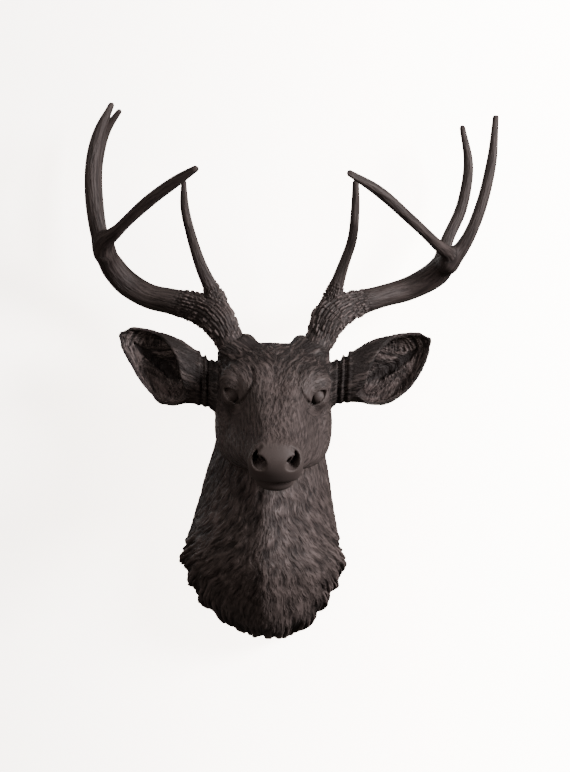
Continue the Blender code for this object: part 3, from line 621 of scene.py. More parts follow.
def ellipsoid(q, centre, radii):
    """Field of an ellipsoid in the coordinates of q."""
    away = (q - np.array(centre, float)) / np.array(radii, float)
    near = np.linalg.norm(away, axis=1)
    return near * (near - 1) / (np.linalg.norm(away / np.array(radii, float), axis=1) + 1e-9)


def swell(form, q, centre, radii, blend):
    """The form with an ellipsoid added to it."""
    return join(form, ellipsoid(q, centre, radii), blend)


def hollow(form, q, centre, radii, blend):
    """The form with an ellipsoid cut out of it."""
    return carve(form, ellipsoid(q, centre, radii), blend)


def fade(at, start, end):
    """1 up to the start, 0 from the end on, and an even slope between them."""
    return np.clip((end - at) / (end - start), 0, 1)


def near_stretch(q, start, end, reach):
    """Which points lie in the box round one stretch of a route, this far out."""
    low = np.minimum(start[:3], end[:3]) - reach
    high = np.maximum(start[:3], end[:3]) + reach
    near = np.flatnonzero((q[:, 0] > low[0]) & (q[:, 0] < high[0]))
    for axis in (1, 2):
        near = near[(q[near, axis] > low[axis]) & (q[near, axis] < high[axis])]
    return near


def strand(q, route):
    """Field of a tapering rod along a route of (x, y, z, radius), or just a large value far from it."""
    reach = 4 * max(point[3] for point in route)
    best = np.full(len(q), 10.0 * reach)
    for start, end in zip(route[:-1], route[1:]):
        near = near_stretch(q, start, end, reach)
        a, along = np.array(start[:3]), np.array(end[:3]) - np.array(start[:3])
        away = q[near] - a
        u = np.clip(away @ along / max(along @ along, 1e-12), 0, 1)
        away -= u[:, None] * along
        gap = np.sqrt(np.einsum("ij,ij->i", away, away)) - start[3] - u * (end[3] - start[3])
        best[near] = np.minimum(best[near], gap)
    return best


def smooth_route(points, steps):
    """The points of a smooth curve through the given points, with their radii."""
    points = np.array(points, float)
    reach = np.concatenate([[0], np.cumsum(np.linalg.norm(np.diff(points[:, :3], axis=0), axis=1))])
    at = np.linspace(0, reach[-1], steps)
    return np.stack([curve(at, reach, column) for column in points.T], axis=1)


def head_frame(points):
    """Points in head units: across, back from the nose, and up from the bridge of the nose."""
    away = (points - NOSE) / HEAD_UNIT
    back = away @ BACKWARD
    across = away[:, 0] - FACE_SHIFT * fade(back, *FACE_SHIFT_FADE)
    return np.stack([across, back, away @ UPWARD], axis=1)


def from_head(place):
    """The point at a place given in head units."""
    across, back, up = (value * HEAD_UNIT for value in place)
    return NOSE + np.array([across, 0, 0]) + BACKWARD * back + UPWARD * up


def face_sections(back, up):
    """The face's middle height, half height, half width and squareness at places and heights."""
    top, bottom, upper, lower, square = section(back, FACE_SECTIONS)
    middle, half = (top + bottom) / 2, (top - bottom) / 2
    share = np.clip(((up - middle) / half + 1) / 2, 0, 1)
    width = lower + (upper - lower) * share * share * (3 - 2 * share)
    # The lower jaw is narrower than the lip above it, back to the corner of the mouth.
    line = MOUTH_LINE - MOUTH_FALL * np.clip(back - MOUTH_FALL_START, 0, None)
    under = np.clip((line - up) / CHIN_EDGE, 0, 1)
    return middle, half, width * (1 - CHIN_TUCK * under * fade(back, *CHIN_FADE)), square


def face(q):
    """Skull, muzzle and jaw, in head units, with q's first column never negative."""
    across, back, up = q.T
    middle, half, width, square = face_sections(back, up)
    radius = ((across / width) ** square + np.abs((up - middle) / half) ** square) ** (1 / square)
    heights, setback = np.array(MUZZLE_FRONT, float).T
    front = curve(up, heights, setback) - back + MUZZLE_ROUND * across**2
    skull = (radius - 1) * np.minimum(width, half)
    ends = np.maximum(front, back - SKULL_END)
    return -join(-skull, -ends, SKULL_BLEND)


def eye_coordinates(q):
    """Places by the eye, in head units: towards its outer corner, up across it, and out along its look."""
    look = np.array(EYE_LOOK) / np.linalg.norm(EYE_LOOK)
    slant = np.array(EYE_SLANT) - look * (look @ EYE_SLANT)
    slant /= np.linalg.norm(slant)
    away = q - np.array(EYE, float)
    return away @ slant, away @ np.cross(look, slant), away @ look


def eye(form, q):
    """The face with its eye: a pad beside it, lids as a part of a ball, and the eyeball in their opening."""
    along, rise, out = eye_coordinates(q)
    far = np.sqrt(along**2 + rise**2 + out**2)
    form = swell(form, q, *MOUND)
    form = join(form, strand(q, smooth_route(PAD, EYE_ROUTE_STEPS)), PAD_BLEND)
    form = carve(form, strand(q, smooth_route(PAD_CREASE, EYE_ROUTE_STEPS)), PAD_CREASE_BLEND)
    form = join(form, far - EYE_LID_RADIUS, EYE_LID_BLEND)
    bend = (EYE_HALF_LENGTH**2 + EYE_HALF_HEIGHT**2) / (2 * EYE_HALF_HEIGHT)
    across = along - EYE_OPENING_SHIFT[0]
    above = rise - EYE_OPENING_SHIFT[1]
    lids = [np.hypot(across, above + way * (bend - EYE_HALF_HEIGHT)) - bend for way in (-1, 1)]
    opening = np.maximum(np.maximum(*lids), EYE_OPENING_FLOOR - out)
    form = carve(form, opening, EYE_OPENING_BLEND)
    ball = np.sqrt(along**2 + rise**2 + (out - EYE_BALL_FORWARD) ** 2) - EYE_BALL_RADIUS
    return np.minimum(form, ball)


def head_forms(points):
    """The head without its ears."""
    q = head_frame(points)
    q[:, 0] = np.abs(q[:, 0])
    form = face(q)
    form = swell(form, q, *NOSE_PAD)
    form = swell(form, q, *LOWER_LIP)
    form = swell(form, q, *CHEEK)
    form = hollow(form, q, *EYE_HOLLOW)
    form = swell(form, q, *ANTLER_FUR)
    form = hollow(form, q, *BRIDGE_DIP)
    form = eye(form, q)
    slit = np.minimum(strand(q, NOSTRIL_SLIT), strand(q, NOSTRIL_SLIT_DEEP))
    form = carve(form, strand(q, NOSTRIL_PIT), NOSTRIL_PIT_BLEND)
    form = carve(form, slit, NOSTRIL_SLIT_BLEND)
    form = join(form, strand(q, NOSTRIL_FOLD), NOSTRIL_FOLD_BLEND)
    form = carve(form, strand(q, MOUTH), MOUTH_BLEND)
    return form * HEAD_UNIT


def ear_axes(side):
    """Directions of an ear: out to the tip, up across it, and towards the opening."""
    rise, back = math.radians(EAR_RISE_DEG[side]), math.radians(EAR_BACK_DEG)
    out = np.array([side * math.cos(rise) * math.cos(back), math.sin(back), math.sin(rise) * math.cos(back)])
    opening = np.array([0, -1.0, 0]) + out * out[1]
    opening /= np.linalg.norm(opening)
    return out, side * np.cross(opening, out), opening


def ear_frame(points, side):
    """Points in ear units: out from the ear's root, up across the ear, and towards its opening."""
    root = from_head(EAR_ROOT) * (side, 1, 1)
    away = (points - root) / EAR_UNIT - EAR_SHIFT[side]
    q = np.stack([away @ axis for axis in ear_axes(side)], axis=1)
    places, drops = np.array(EAR_SAG[side], float).T
    drop = curve(np.clip(q[:, 0], places[0], places[-1]), places, drops)
    q[:, 1] += drop * np.clip(0.5 - q[:, 1] / EAR_SAG_HEIGHT, 0, 1)
    return q


def ear(q, slope):
    """An ear in ear units: a shell round an open funnel, with a floor, a filled root and upright creases."""
    first, last = EAR_SECTIONS[0][0], EAR_SECTIONS[-1][0]
    middle, height, depth, upper, lower = section(np.clip(q[:, 0], first, last), EAR_SECTIONS)
    u, v = (q[:, 1] - middle) / height, q[:, 2] / depth
    radius = np.hypot(u, v) + 1e-6
    shell = np.abs(radius - 1) * radius / (np.hypot(u / height, v / depth) + 1e-6)
    # The opening lies between the two rims; there the nearer rim is the nearest wall.
    turn = np.degrees(np.arctan2(u, v))
    rims = np.full(len(q), np.inf)
    for angle in (upper, lower):
        b, c = middle + height * np.sin(np.radians(angle)), depth * np.cos(np.radians(angle))
        rims = np.minimum(rims, np.hypot(q[:, 1] - b, q[:, 2] - c))
    wall = np.where((turn < upper) & (turn > lower), rims, shell)
    beyond = np.maximum(np.maximum(first - q[:, 0], q[:, 0] - last), 0)
    form = np.hypot(wall, beyond) - EAR_WALL / EAR_UNIT / 2
    beside = q[:, 0] - slope * q[:, 1]
    root = np.maximum((radius - 1) * depth - EAR_WALL / EAR_UNIT / 2, beside - EAR_CREASES[1] - EAR_ROOT_RUN)
    form = join(form, root, EAR_ROOT_BLEND)
    form = swell(form, q, *EAR_SWELLING)
    form = carve(form, strand(q, EAR_CHANNEL), EAR_CHANNEL_BLEND)
    creases = sum(np.exp(-(((beside - place) / EAR_CREASE_WIDTH) ** 2)) for place in EAR_CREASES)
    low, high = EAR_CREASE_FADE
    share = np.clip((q[:, 1] - low) / (high - low), EAR_CREASE_LEAST, 1)
    return form + EAR_CREASE_DEPTH / EAR_UNIT * creases * share


def ears(points):
    form = np.full(len(points), np.inf)
    for side in (-1, 1):
        beside = points[:, 0] * side >= 0
        slope = math.tan(math.radians(EAR_RISE_DEG[side]))
        form[beside] = ear(ear_frame(points[beside], side), slope) * EAR_UNIT
    return form


def neck(points):
    """Neck and brisket, ridged down the front, with ragged locks of fur round its lower edge."""
    height = points[:, 2] / NECK_UNIT
    width, depth, lean = section(height, NECK_SECTIONS)
    across = points[:, 0] - lean * NECK_UNIT
    width, depth = width * NECK_HALF_WIDTH, depth * NECK_DEPTH
    turn = np.arctan2(across, -(points[:, 2] + LOCK_MIDDLE * NECK_DROP))
    wander = LOCK_WANDER * np.sin(turn * LOCK_WANDER_RATE)
    lock = np.abs(((turn * LOCKS_TO_A_HALF_TURN + wander) / math.pi) % 1 * 2 - 1)
    start, end = LOCK_FADE
    near_wall = np.clip(1 + points[:, 1] / (LOCK_FADE_DEPTH * NECK_DEPTH), 0, 1)
    shown = np.clip((-height - start) / (end - start), 0, 1) * near_wall
    ridge, flat = NECK_RIDGE_RADIUS, NECK_RIDGE_FLAT * NECK_RIDGE_RADIUS
    sides = ((np.hypot(across, ridge) - flat) / (np.hypot(width, ridge) - flat)) ** NECK_SIDES_POWER
    front = np.clip(-points[:, 1] / depth, 0, None) ** NECK_FRONT_POWER
    form = ((sides + front) ** (1 / NECK_TURN_POWER) - 1) * np.minimum(width, depth) * NECK_FIELD_SHARE
    locks = LOCK_DEPTH * shown * (lock - LOCK_LEVEL)
    below = np.maximum(NECK_SECTIONS[0][0] - height, height - NECK_SECTIONS[-1][0]) * NECK_UNIT
    return np.maximum(form + locks, below)


def collars(points):
    """Fur standing up round the foot of each antler."""
    form = np.full(len(points), np.inf)
    for side in (-1, 1):
        foot, up = foot_of(side)
        radius = FOOT_RADIUS + COLLAR_WALL
        route = [(*(foot - up * 2 * COLLAR_DROP), radius), (*(foot - up * COLLAR_DROP), radius)]
        form = np.minimum(form, strand(points, route))
    return form


def casting(points):
    """The field of the whole head casting, run on behind the wall plane so that the back can be cut flat."""
    body = join(neck(points), head_forms(points), CASTING_FILLET)
    body = join(body, collars(points), CASTING_FILLET)
    body = join(body, ears(points), EAR_FILLET)
    return np.maximum(body, points[:, 1] - BEHIND_WALL)


def foot_of(side):
    """Centre of an antler's foot at the rim of its socket, and the direction that the antler leaves it."""
    lean, back = math.radians(FOOT_LEAN_DEG), math.radians(FOOT_BACK_DEG)
    up = np.array([side * math.sin(lean), math.sin(back), math.cos(lean)])
    return from_head((side * PEDICLE[0], *PEDICLE[1:])), up / np.linalg.norm(up)


def antler_routes(side, branches):
    """Smooth routes of an antler's branches. The beam starts at the top of the straight foot."""
    foot, up = foot_of(side)
    top = foot + up * FOOT_STRAIGHT
    routes = []
    for branch in branches:
        points = [(*(foot + np.array(p[:3]) * ANTLER_UNIT), p[3] * ANTLER_UNIT) for p in branch]
        if branch is branches[0]:
            points[0] = (*top, FOOT_RADIUS)
        routes.append(smooth_route(points, BRANCH_STEPS * len(points)))
    return routes


def antler_form(points, side, routes):
    """The field of one antler, cut flat at its foot."""
    foot, up = foot_of(side)
    root = foot - up * (SEAT_DEPTH + FOOT_RUN_ON)
    top = foot + up * FOOT_STRAIGHT
    form = strand(points, routes[0])
    for route in routes[1:]:
        form = join(form, strand(points, route), FORK_FILLET)
    form = join(form, strand(points, ((*root, FOOT_RADIUS), (*top, FOOT_RADIUS))), FOOT_FILLET)
    return np.maximum(form, -(points - foot) @ up - (SEAT_DEPTH - SEAT_GAP))


def sampled(field, axes, block):
    """The field on a grid. Far from the surface only its sign counts, so a coarse grid gives that."""
    shape = [len(axis) for axis in axes]
    coarse = [axis[::block] for axis in axes]
    corners = np.stack(np.meshgrid(*coarse, indexing="ij"), axis=-1).reshape(-1, 3)
    rough = field(corners).reshape([len(axis) for axis in coarse])
    near = [np.minimum((np.arange(n) + block // 2) // block, len(axis) - 1) for n, axis in zip(shape, coarse)]
    values = rough[np.ix_(*near)]
    close = np.nonzero(np.abs(values) < 1.7 * block * max(np.diff(axis).max() for axis in axes))
    values[close] = field(np.stack([axis[i] for axis, i in zip(axes, close)], axis=-1))
    return values


def settled(values, fill):
    """The grid with every spot filled where two sheets of the surface would meet in one cell."""
    low, high = slice(None, -1), slice(1, None)
    full = slice(None)
    diagonals = []
    for axis in range(3):
        for second in (low, high):
            start, end = [second, second, second], [low, low, low]
            start[axis] = end[axis] = full
            start[(axis + 1) % 3] = low
            end[(axis + 1) % 3] = high
            end[(axis + 2) % 3] = low if second == high else high
            diagonals.append((tuple(start), tuple(end)))
    changed = True
    while changed:
        changed = False
        for (a, b), (c, d) in zip(diagonals[0::2], diagonals[1::2]):
            inside = values < 0
            first = inside[a] & inside[b] & ~inside[c] & ~inside[d]
            second = inside[c] & inside[d] & ~inside[a] & ~inside[b]
            for spots, corner in ((first, c), (second, a)):
                if spots.any():
                    values[corner][spots] = -fill
                    changed = True
    return values


def cells_round(crossed, axis):
    """The four cells round each crossed edge of the grid, in a ring."""
    u, v = [i for i in range(3) if i != axis]
    for du, dv in ((0, 0), (1, 0), (1, 1), (0, 1)):
        beside = crossed.copy()
        beside[:, u] -= du
        beside[:, v] -= dv
        yield tuple(beside.T)


def surface(field, axes):
    """Vertices and quads of the field's surface: one vertex in each grid cell that it crosses."""
    values = settled(sampled(field, axes, 3), 0.2 * min(np.diff(axis).min() for axis in axes))
    inside = values < 0
    cells = np.zeros([n - 1 for n in values.shape])
    total = np.zeros((*cells.shape, 3))
    edges = []
    for axis in range(3):
        first = [slice(None)] * 3
        second = [slice(None)] * 3
        first[axis], second[axis] = slice(None, -1), slice(1, None)
        a, b = values[tuple(first)], values[tuple(second)]
        crossed = np.argwhere((a < 0) != (b < 0))
        va, vb = a[tuple(crossed.T)], b[tuple(crossed.T)]
        place = np.stack([axes[i][crossed[:, i]] for i in range(3)], axis=1)
        place[:, axis] += np.diff(axes[axis])[crossed[:, axis]] * va / (va - vb)
        edges.append((axis, crossed, inside[tuple(first)][tuple(crossed.T)]))
        for cell in cells_round(crossed, axis):
            np.add.at(cells, cell, 1)
            np.add.at(total, cell, place)
    number = np.full(cells.shape, -1)
    used = cells > 0
    number[used] = np.arange(used.sum())
    vertices = total[used] / cells[used][:, None]
    quads = []
    for axis, crossed, starts_inside in edges:
        ring = np.stack([number[cell] for cell in cells_round(crossed, axis)], axis=1)
        turned = starts_inside != (axis == 1)
        ring[turned] = ring[turned][:, ::-1]
        quads.append(ring[:, ::-1])
    return vertices, np.concatenate(quads)


def spaced(stops):
    """Places along an axis: from each (start, step) to the next start at about that step."""
    places = [stops[0][0]]
    for (start, step), (end, _) in zip(stops[:-1], stops[1:]):
        count = max(1, round((end - start) / step))
        places.extend(start + (end - start) * (i + 1) / count for i in range(count))
    return np.array(places)


def keyhole(points):
    """The hole for the screw: a round entry, a slot above it, and a pocket behind the slot's lip."""
    x, y, z = points.T
    rise = z - KEYHOLE_HEIGHT
    entry = np.maximum(np.hypot(x, rise) - KEYHOLE_HEAD_RADIUS, -y - KEYHOLE_DEPTH)
    slot = np.maximum(np.abs(x) - KEYHOLE_SHANK_RADIUS, np.maximum(-rise, rise - KEYHOLE_RISE))
    slot = np.maximum(slot, -y - KEYHOLE_SLOT_DEPTH_SHARE * KEYHOLE_DEPTH)
    end = KEYHOLE_RISE + KEYHOLE_POCKET_RISE_SHARE * KEYHOLE_HEAD_RADIUS
    pocket = np.abs(x) - KEYHOLE_POCKET_WIDTH_SHARE * KEYHOLE_HEAD_RADIUS
    for face in (y + KEYHOLE_LIP, -y - KEYHOLE_POCKET_DEPTH_SHARE * KEYHOLE_DEPTH, -rise, rise - end):
        pocket = np.maximum(pocket, face)
    return np.minimum(np.minimum(entry, slot), pocket)


def finished_head(points):
    """The head casting with its flat back, keyhole and antler sockets."""
    form = np.maximum(casting(points), points[:, 1])
    form = np.maximum(form, -keyhole(points))
    for side in (-1, 1):
        foot, up = foot_of(side)
        away = points - foot
        along = away @ up
        aside = np.linalg.norm(away - along[:, None] * up, axis=1)
        socket = np.maximum(aside - FOOT_RADIUS - VISIBLE_SOCKET_GAP, -along - SEAT_DEPTH)
        form = np.maximum(form, -np.maximum(socket, along - SOCKET_REACH))
    return form


def hashed(cells, seed):
    """An even spread of numbers from 0 to 1, one for each whole-numbered cell."""
    h = seed * HASH_PRIMES[3]
    for i in range(3):
        h = h ^ (cells[:, i].astype(np.int64) * HASH_PRIMES[i])
    for shift, factor in HASH_STEPS:
        h = (h ^ (h >> shift)) * factor & HASH_LIMIT
    return (h ^ (h >> 15)) / HASH_LIMIT % 1


def noise(q, seed):
    """Smooth noise from 0 to 1 with features about one unit apart."""
    floor = np.floor(q)
    u = q - floor
    u = u * u * (3 - 2 * u)
    total = 0
    for corner in np.ndindex(2, 2, 2):
        weight = np.prod(np.where(np.array(corner) == 1, u, 1 - u), axis=1)
        total = total + weight * hashed(floor + corner, seed)
    return total


def smooth(value, start, end):
    """0 before start, 1 after end, and a smooth step between them."""
    u = np.clip((value - start) / (end - start), 0, 1)
    return u * u * (3 - 2 * u)


def make_mesh(name, vertices, faces):
    mesh = bpy.data.meshes.new(name)
    mesh.from_pydata(vertices, [], faces)
    mesh.polygons.foreach_set("use_smooth", np.ones(len(mesh.polygons), bool))
    mesh.update()
    obj = bpy.data.objects.new(name, mesh)
    bpy.context.scene.collection.objects.link(obj)
    return obj


def places_of(obj):
    """The places of an object's vertices."""
    places = np.zeros(len(obj.data.vertices) * 3, np.float32)
    obj.data.vertices.foreach_get("co", places)
    return places.reshape(-1, 3)


def move_to(obj, places, box):
    """Moves the vertices to these places, or to the nearest ones in the box."""
    inside = np.clip(places, *box)
    obj.data.vertices.foreach_set("co", inside.astype(np.float32).ravel())


def thin_out(obj, triangles):
    """Keeps about this many triangles, most of them where the relief is."""
    if triangles >= 2 * len(obj.data.polygons):
        return
    modifier = obj.modifiers.new("Thin out", "DECIMATE")
    modifier.ratio = triangles / (2 * len(obj.data.polygons))
    modifier.use_collapse_triangulate = True
    bpy.context.view_layer.update()
    shaped = obj.evaluated_get(bpy.context.evaluated_depsgraph_get())
    mesh = bpy.data.meshes.new_from_object(shaped)
    obj.modifiers.clear()
    old = obj.data
    obj.data = mesh
    bpy.data.meshes.remove(old)
    mesh.polygons.foreach_set("use_smooth", np.ones(len(mesh.polygons), bool))


def start_piece(name, corners, field, step):
    """A piece of this form on a fine grid, with its vertices, their normals and the box it has to stay in."""
    low, high = (np.array(corner) for corner in corners)
    margin = MARGIN_CELLS * step
    axes = [spaced(((a - margin, step), (b + margin, 0))) for a, b in zip(low, high)]
    points, faces = surface(field, axes)
    obj = make_mesh(f"{name}_casting", points, faces)
    normals = np.zeros(len(points) * 3, np.float32)
    obj.data.vertex_normals.foreach_get("vector", normals)
    return obj, points, normals.reshape(-1, 3).astype(float), (low, high)


def finish_piece(obj, box, **attributes):
    """Gives the piece what its material reads, and thins it out without leaving the box."""
    for name, values in attributes.items():
        kind, field = ("FLOAT", "value") if values.ndim == 1 else ("FLOAT_VECTOR", "vector")
        attribute = obj.data.attributes.new(name, kind, "POINT")
        attribute.data.foreach_set(field, values.astype(np.float32).ravel())
    thin_out(obj, PIECE_TRIANGLES)
    move_to(obj, places_of(obj), box)
    obj.data.update()


def spread_of(obj, t):
    """How far the lines of flow, where t is even, have spread from 1 mm a unit: as a power of two."""
    faces = np.zeros(len(obj.data.polygons) * 4, np.int32)
    obj.data.polygons.foreach_get("vertices", faces)
    faces = faces.reshape(-1, 4)
    places = places_of(obj).astype(float) / MM
    least, most = FLOW_STEEPNESS
    total, count = np.zeros(len(t)), np.zeros(len(t))
    for corners in ((0, 1, 2), (1, 2, 3), (2, 3, 0), (3, 0, 1)):
        a, b, c = (faces[:, corner] for corner in corners)
        first, second = places[b] - places[a], places[c] - places[a]
        rise, slope = t[b] - t[a], t[c] - t[a]
        pairs = ((first, first), (first, second), (second, second))
        uu, uv, vv = (np.einsum("ij,ij->i", *pair) for pair in pairs)
        area = np.maximum(uu * vv - uv * uv, 1e-9)
        steep = np.sqrt(np.maximum((rise**2 * vv - 2 * rise * slope * uv + slope**2 * uu) / area, 0))
        for corner in (a, b, c):
            np.add.at(total, corner, np.minimum(steep, most))
            np.add.at(count, corner, 1)
    return -np.log2(np.clip(total / np.maximum(count, 1), least, most))


def strands(t, s, spread, width, length, seed):
    """Noise from 0 to 1 in soft strands of an even width, drawn out along the flow."""
    level = np.floor(spread)
    share = smooth(spread - level, *LEVEL_BLEND)
    value = 0
    for step, weight in ((0, 1 - share), (1, share)):
        finer = level + step
        spots = np.stack([t * 2.0**finer / width, s / length, finer * LEVEL_SHIFT], axis=1)
        value = value + weight * noise(spots, seed)
    return value


def tufts(t, s, spread, width, length, seed):
    """Height, 0 to 1, of a coat in tufts of this size, with finer tufts on them."""
    coarse = smooth(strands(t, s, spread, width, length, seed), *TUFT_EDGE)
    fine = smooth(strands(t, s, spread, width / 2, length / 2, seed + 1), *TUFT_EDGE)
    return (1 - FINE_TUFTS) * coarse + FINE_TUFTS * fine


def pebbles(q, seed):
    """Height, 0 to 1, of rounded grains about one unit apart, with creases between them."""
    floor = np.floor(q)
    first = np.full(len(q), np.inf)
    second = first.copy()
    for step in np.ndindex(3, 3, 3):
        cell = floor + np.array(step) - 1
        spot = np.stack([hashed(cell, seed + axis) for axis in range(3)], axis=1)
        away = q - cell - 0.5 - PEBBLE_SCATTER * (spot - 0.5)
        gap = np.einsum("ij,ij->i", away, away)
        second = np.minimum(second, np.maximum(first, gap))
        first = np.minimum(first, gap)
    return np.clip((np.sqrt(second) - np.sqrt(first)) / PEBBLE_EDGE, 0, 1)


def curl_of(points, waves):
    """How far aside the hair curls, in mm."""
    return sum(size * (noise(points / (length * MM), seed) - 0.5) for size, length, seed in waves)


def neck_strokes(points, fringe):
    """Across and along the hair of the neck, in mm: outwards from the ridge, and straighter in the fringe."""
    x, y, z = points.T
    across = np.arctan2(x, NECK_AXIS_SHARE * NECK_DEPTH - y) * NECK_DEPTH / MM
    below = NECK_FAN_TOP / MM - z / MM
    reach = NECK_FAN_START + (np.hypot(below, NECK_FAN_SOFTNESS) + below) / 2
    fan = (NECK_FAN_SIZE / reach) ** NECK_FAN_STRENGTH
    curl = curl_of(points, NECK_CURL) * (1 - FRINGE_CALM * fringe)
    return (across + curl) * fan, np.hypot(across, z / MM - NECK_HAIR_START)


def face_strokes(q, points):
    """Across and along the hair of the face, in mm: straight up the nose, and outwards over the brow."""
    middle, half, _, _ = face_sections(q[:, 1], q[:, 2])
    across = np.arctan2(q[:, 0], q[:, 2] - middle + FACE_AXIS_DROP) * (half + FACE_AXIS_DROP)
    places = np.linspace(*FACE_PLACES)
    angles = np.radians(BROW_TURN_DEG) * smooth(places, *BROW_TURN_PLACES)
    drift = np.cumsum(np.sin(angles)) * (places[1] - places[0])
    turned = np.interp(q[:, 1], places, angles)
    t = across * np.cos(turned) - np.sign(q[:, 0]) * np.interp(q[:, 1], places, drift)
    return t + curl_of(points, FACE_CURL), q[:, 1] + np.abs(across) * np.sin(turned)


def lid_strokes(right, points):
    """Across and along the folds of skin round the eye, in mm, and how much they count."""
    along, rise, _ = eye_coordinates(right)
    ring = np.hypot(along / LID_STRETCH, rise)
    share = (1 - smooth(ring, *LID_FOLDS_END)) * smooth(ring, *LID_FOLDS_START)
    return ring + curl_of(points, LID_CURL) + LID_FLOW_SHIFT, np.arctan2(rise, along) * LID_RADIUS, share


def bare_of_fur(right):
    """1 where the face is smooth skin: nose, lips, eyes and the pads round them."""
    _, back, up = right.T
    nose = 1 - smooth(back + NOSE_SKIN_SLOPE * up, *NOSE_SKIN_END)
    lips = (1 - smooth(back, *LIP_SKIN_END)) * (1 - smooth(up, *LIP_SKIN_TOP))
    along, rise, _ = eye_coordinates(right)
    eyeball = 1 - smooth(np.hypot(along / LID_STRETCH, rise), *EYEBALL_EDGE)
    pad = 1 - smooth(strand(right, PAD), *PAD_SKIN_EDGE)
    return np.maximum(np.maximum(nose, lips), np.maximum(eyeball, pad))


def ear_strokes(points):
    """Across and along the hair of the ears, in mm; how far it is inside; its place out from the root and
    across the ear; and how far it is in a crease."""
    found = np.zeros((6, len(points)))
    for side in (-1, 1):
        here = points[:, 0] * side >= 0
        out, up, front = ear_frame(points[here], side).T
        middle, half, depth, _, _ = section(np.clip(out, *EAR_HAIR_REACH), EAR_SECTIONS)
        aside = up - middle
        within = 1 - np.hypot(aside / half, front / depth)
        inside = smooth(within, *EAR_INSIDE_EDGE) * smooth(out, *EAR_INSIDE_START)
        curl = curl_of(points[here], EAR_CURL)
        slant = EAR_HAIR_SLANT * out + np.abs(aside) + EAR_INSIDE_CURL * curl
        t = np.where(inside > 0.5, slant + EAR_FLOW_SHIFT, up + curl)
        s = np.where(inside > 0.5, out - EAR_HAIR_SLANT * np.abs(aside), out)
        beside = out - math.tan(math.radians(EAR_RISE_DEG[side])) * up
        crease = sum(np.exp(-(((beside - place) / EAR_CREASE_WIDTH) ** 2)) for place in EAR_CREASES)
        found[:, here] = t, s, inside, out, aside / half, crease
    return found


def ear_channel(t, out, aside, inside):
    """How far each place is in the ragged channel down an ear, and in the fold inside its lower rim, both of
    which get painted shade.
    """
    barbs = np.stack([t / BARB_WIDTH, np.sign(aside) * BARB_SHIFT, 0 * t], axis=1)
    away = np.abs(aside - CHANNEL_MIDDLE) + BARB_LENGTH * (noise(barbs, seed=35) - 0.5)
    width = CHANNEL_HALF_WIDTH * smooth(out, *CHANNEL_START) * (1 - smooth(out, *CHANNEL_END))
    within = 1 - smooth(away, width - CHANNEL_EDGE, width + CHANNEL_EDGE)
    channel = inside * within * (width > CHANNEL_LEAST)
    return channel, inside * np.exp(-(((aside - FOLD_MIDDLE) / FOLD_WIDTH) ** 2))


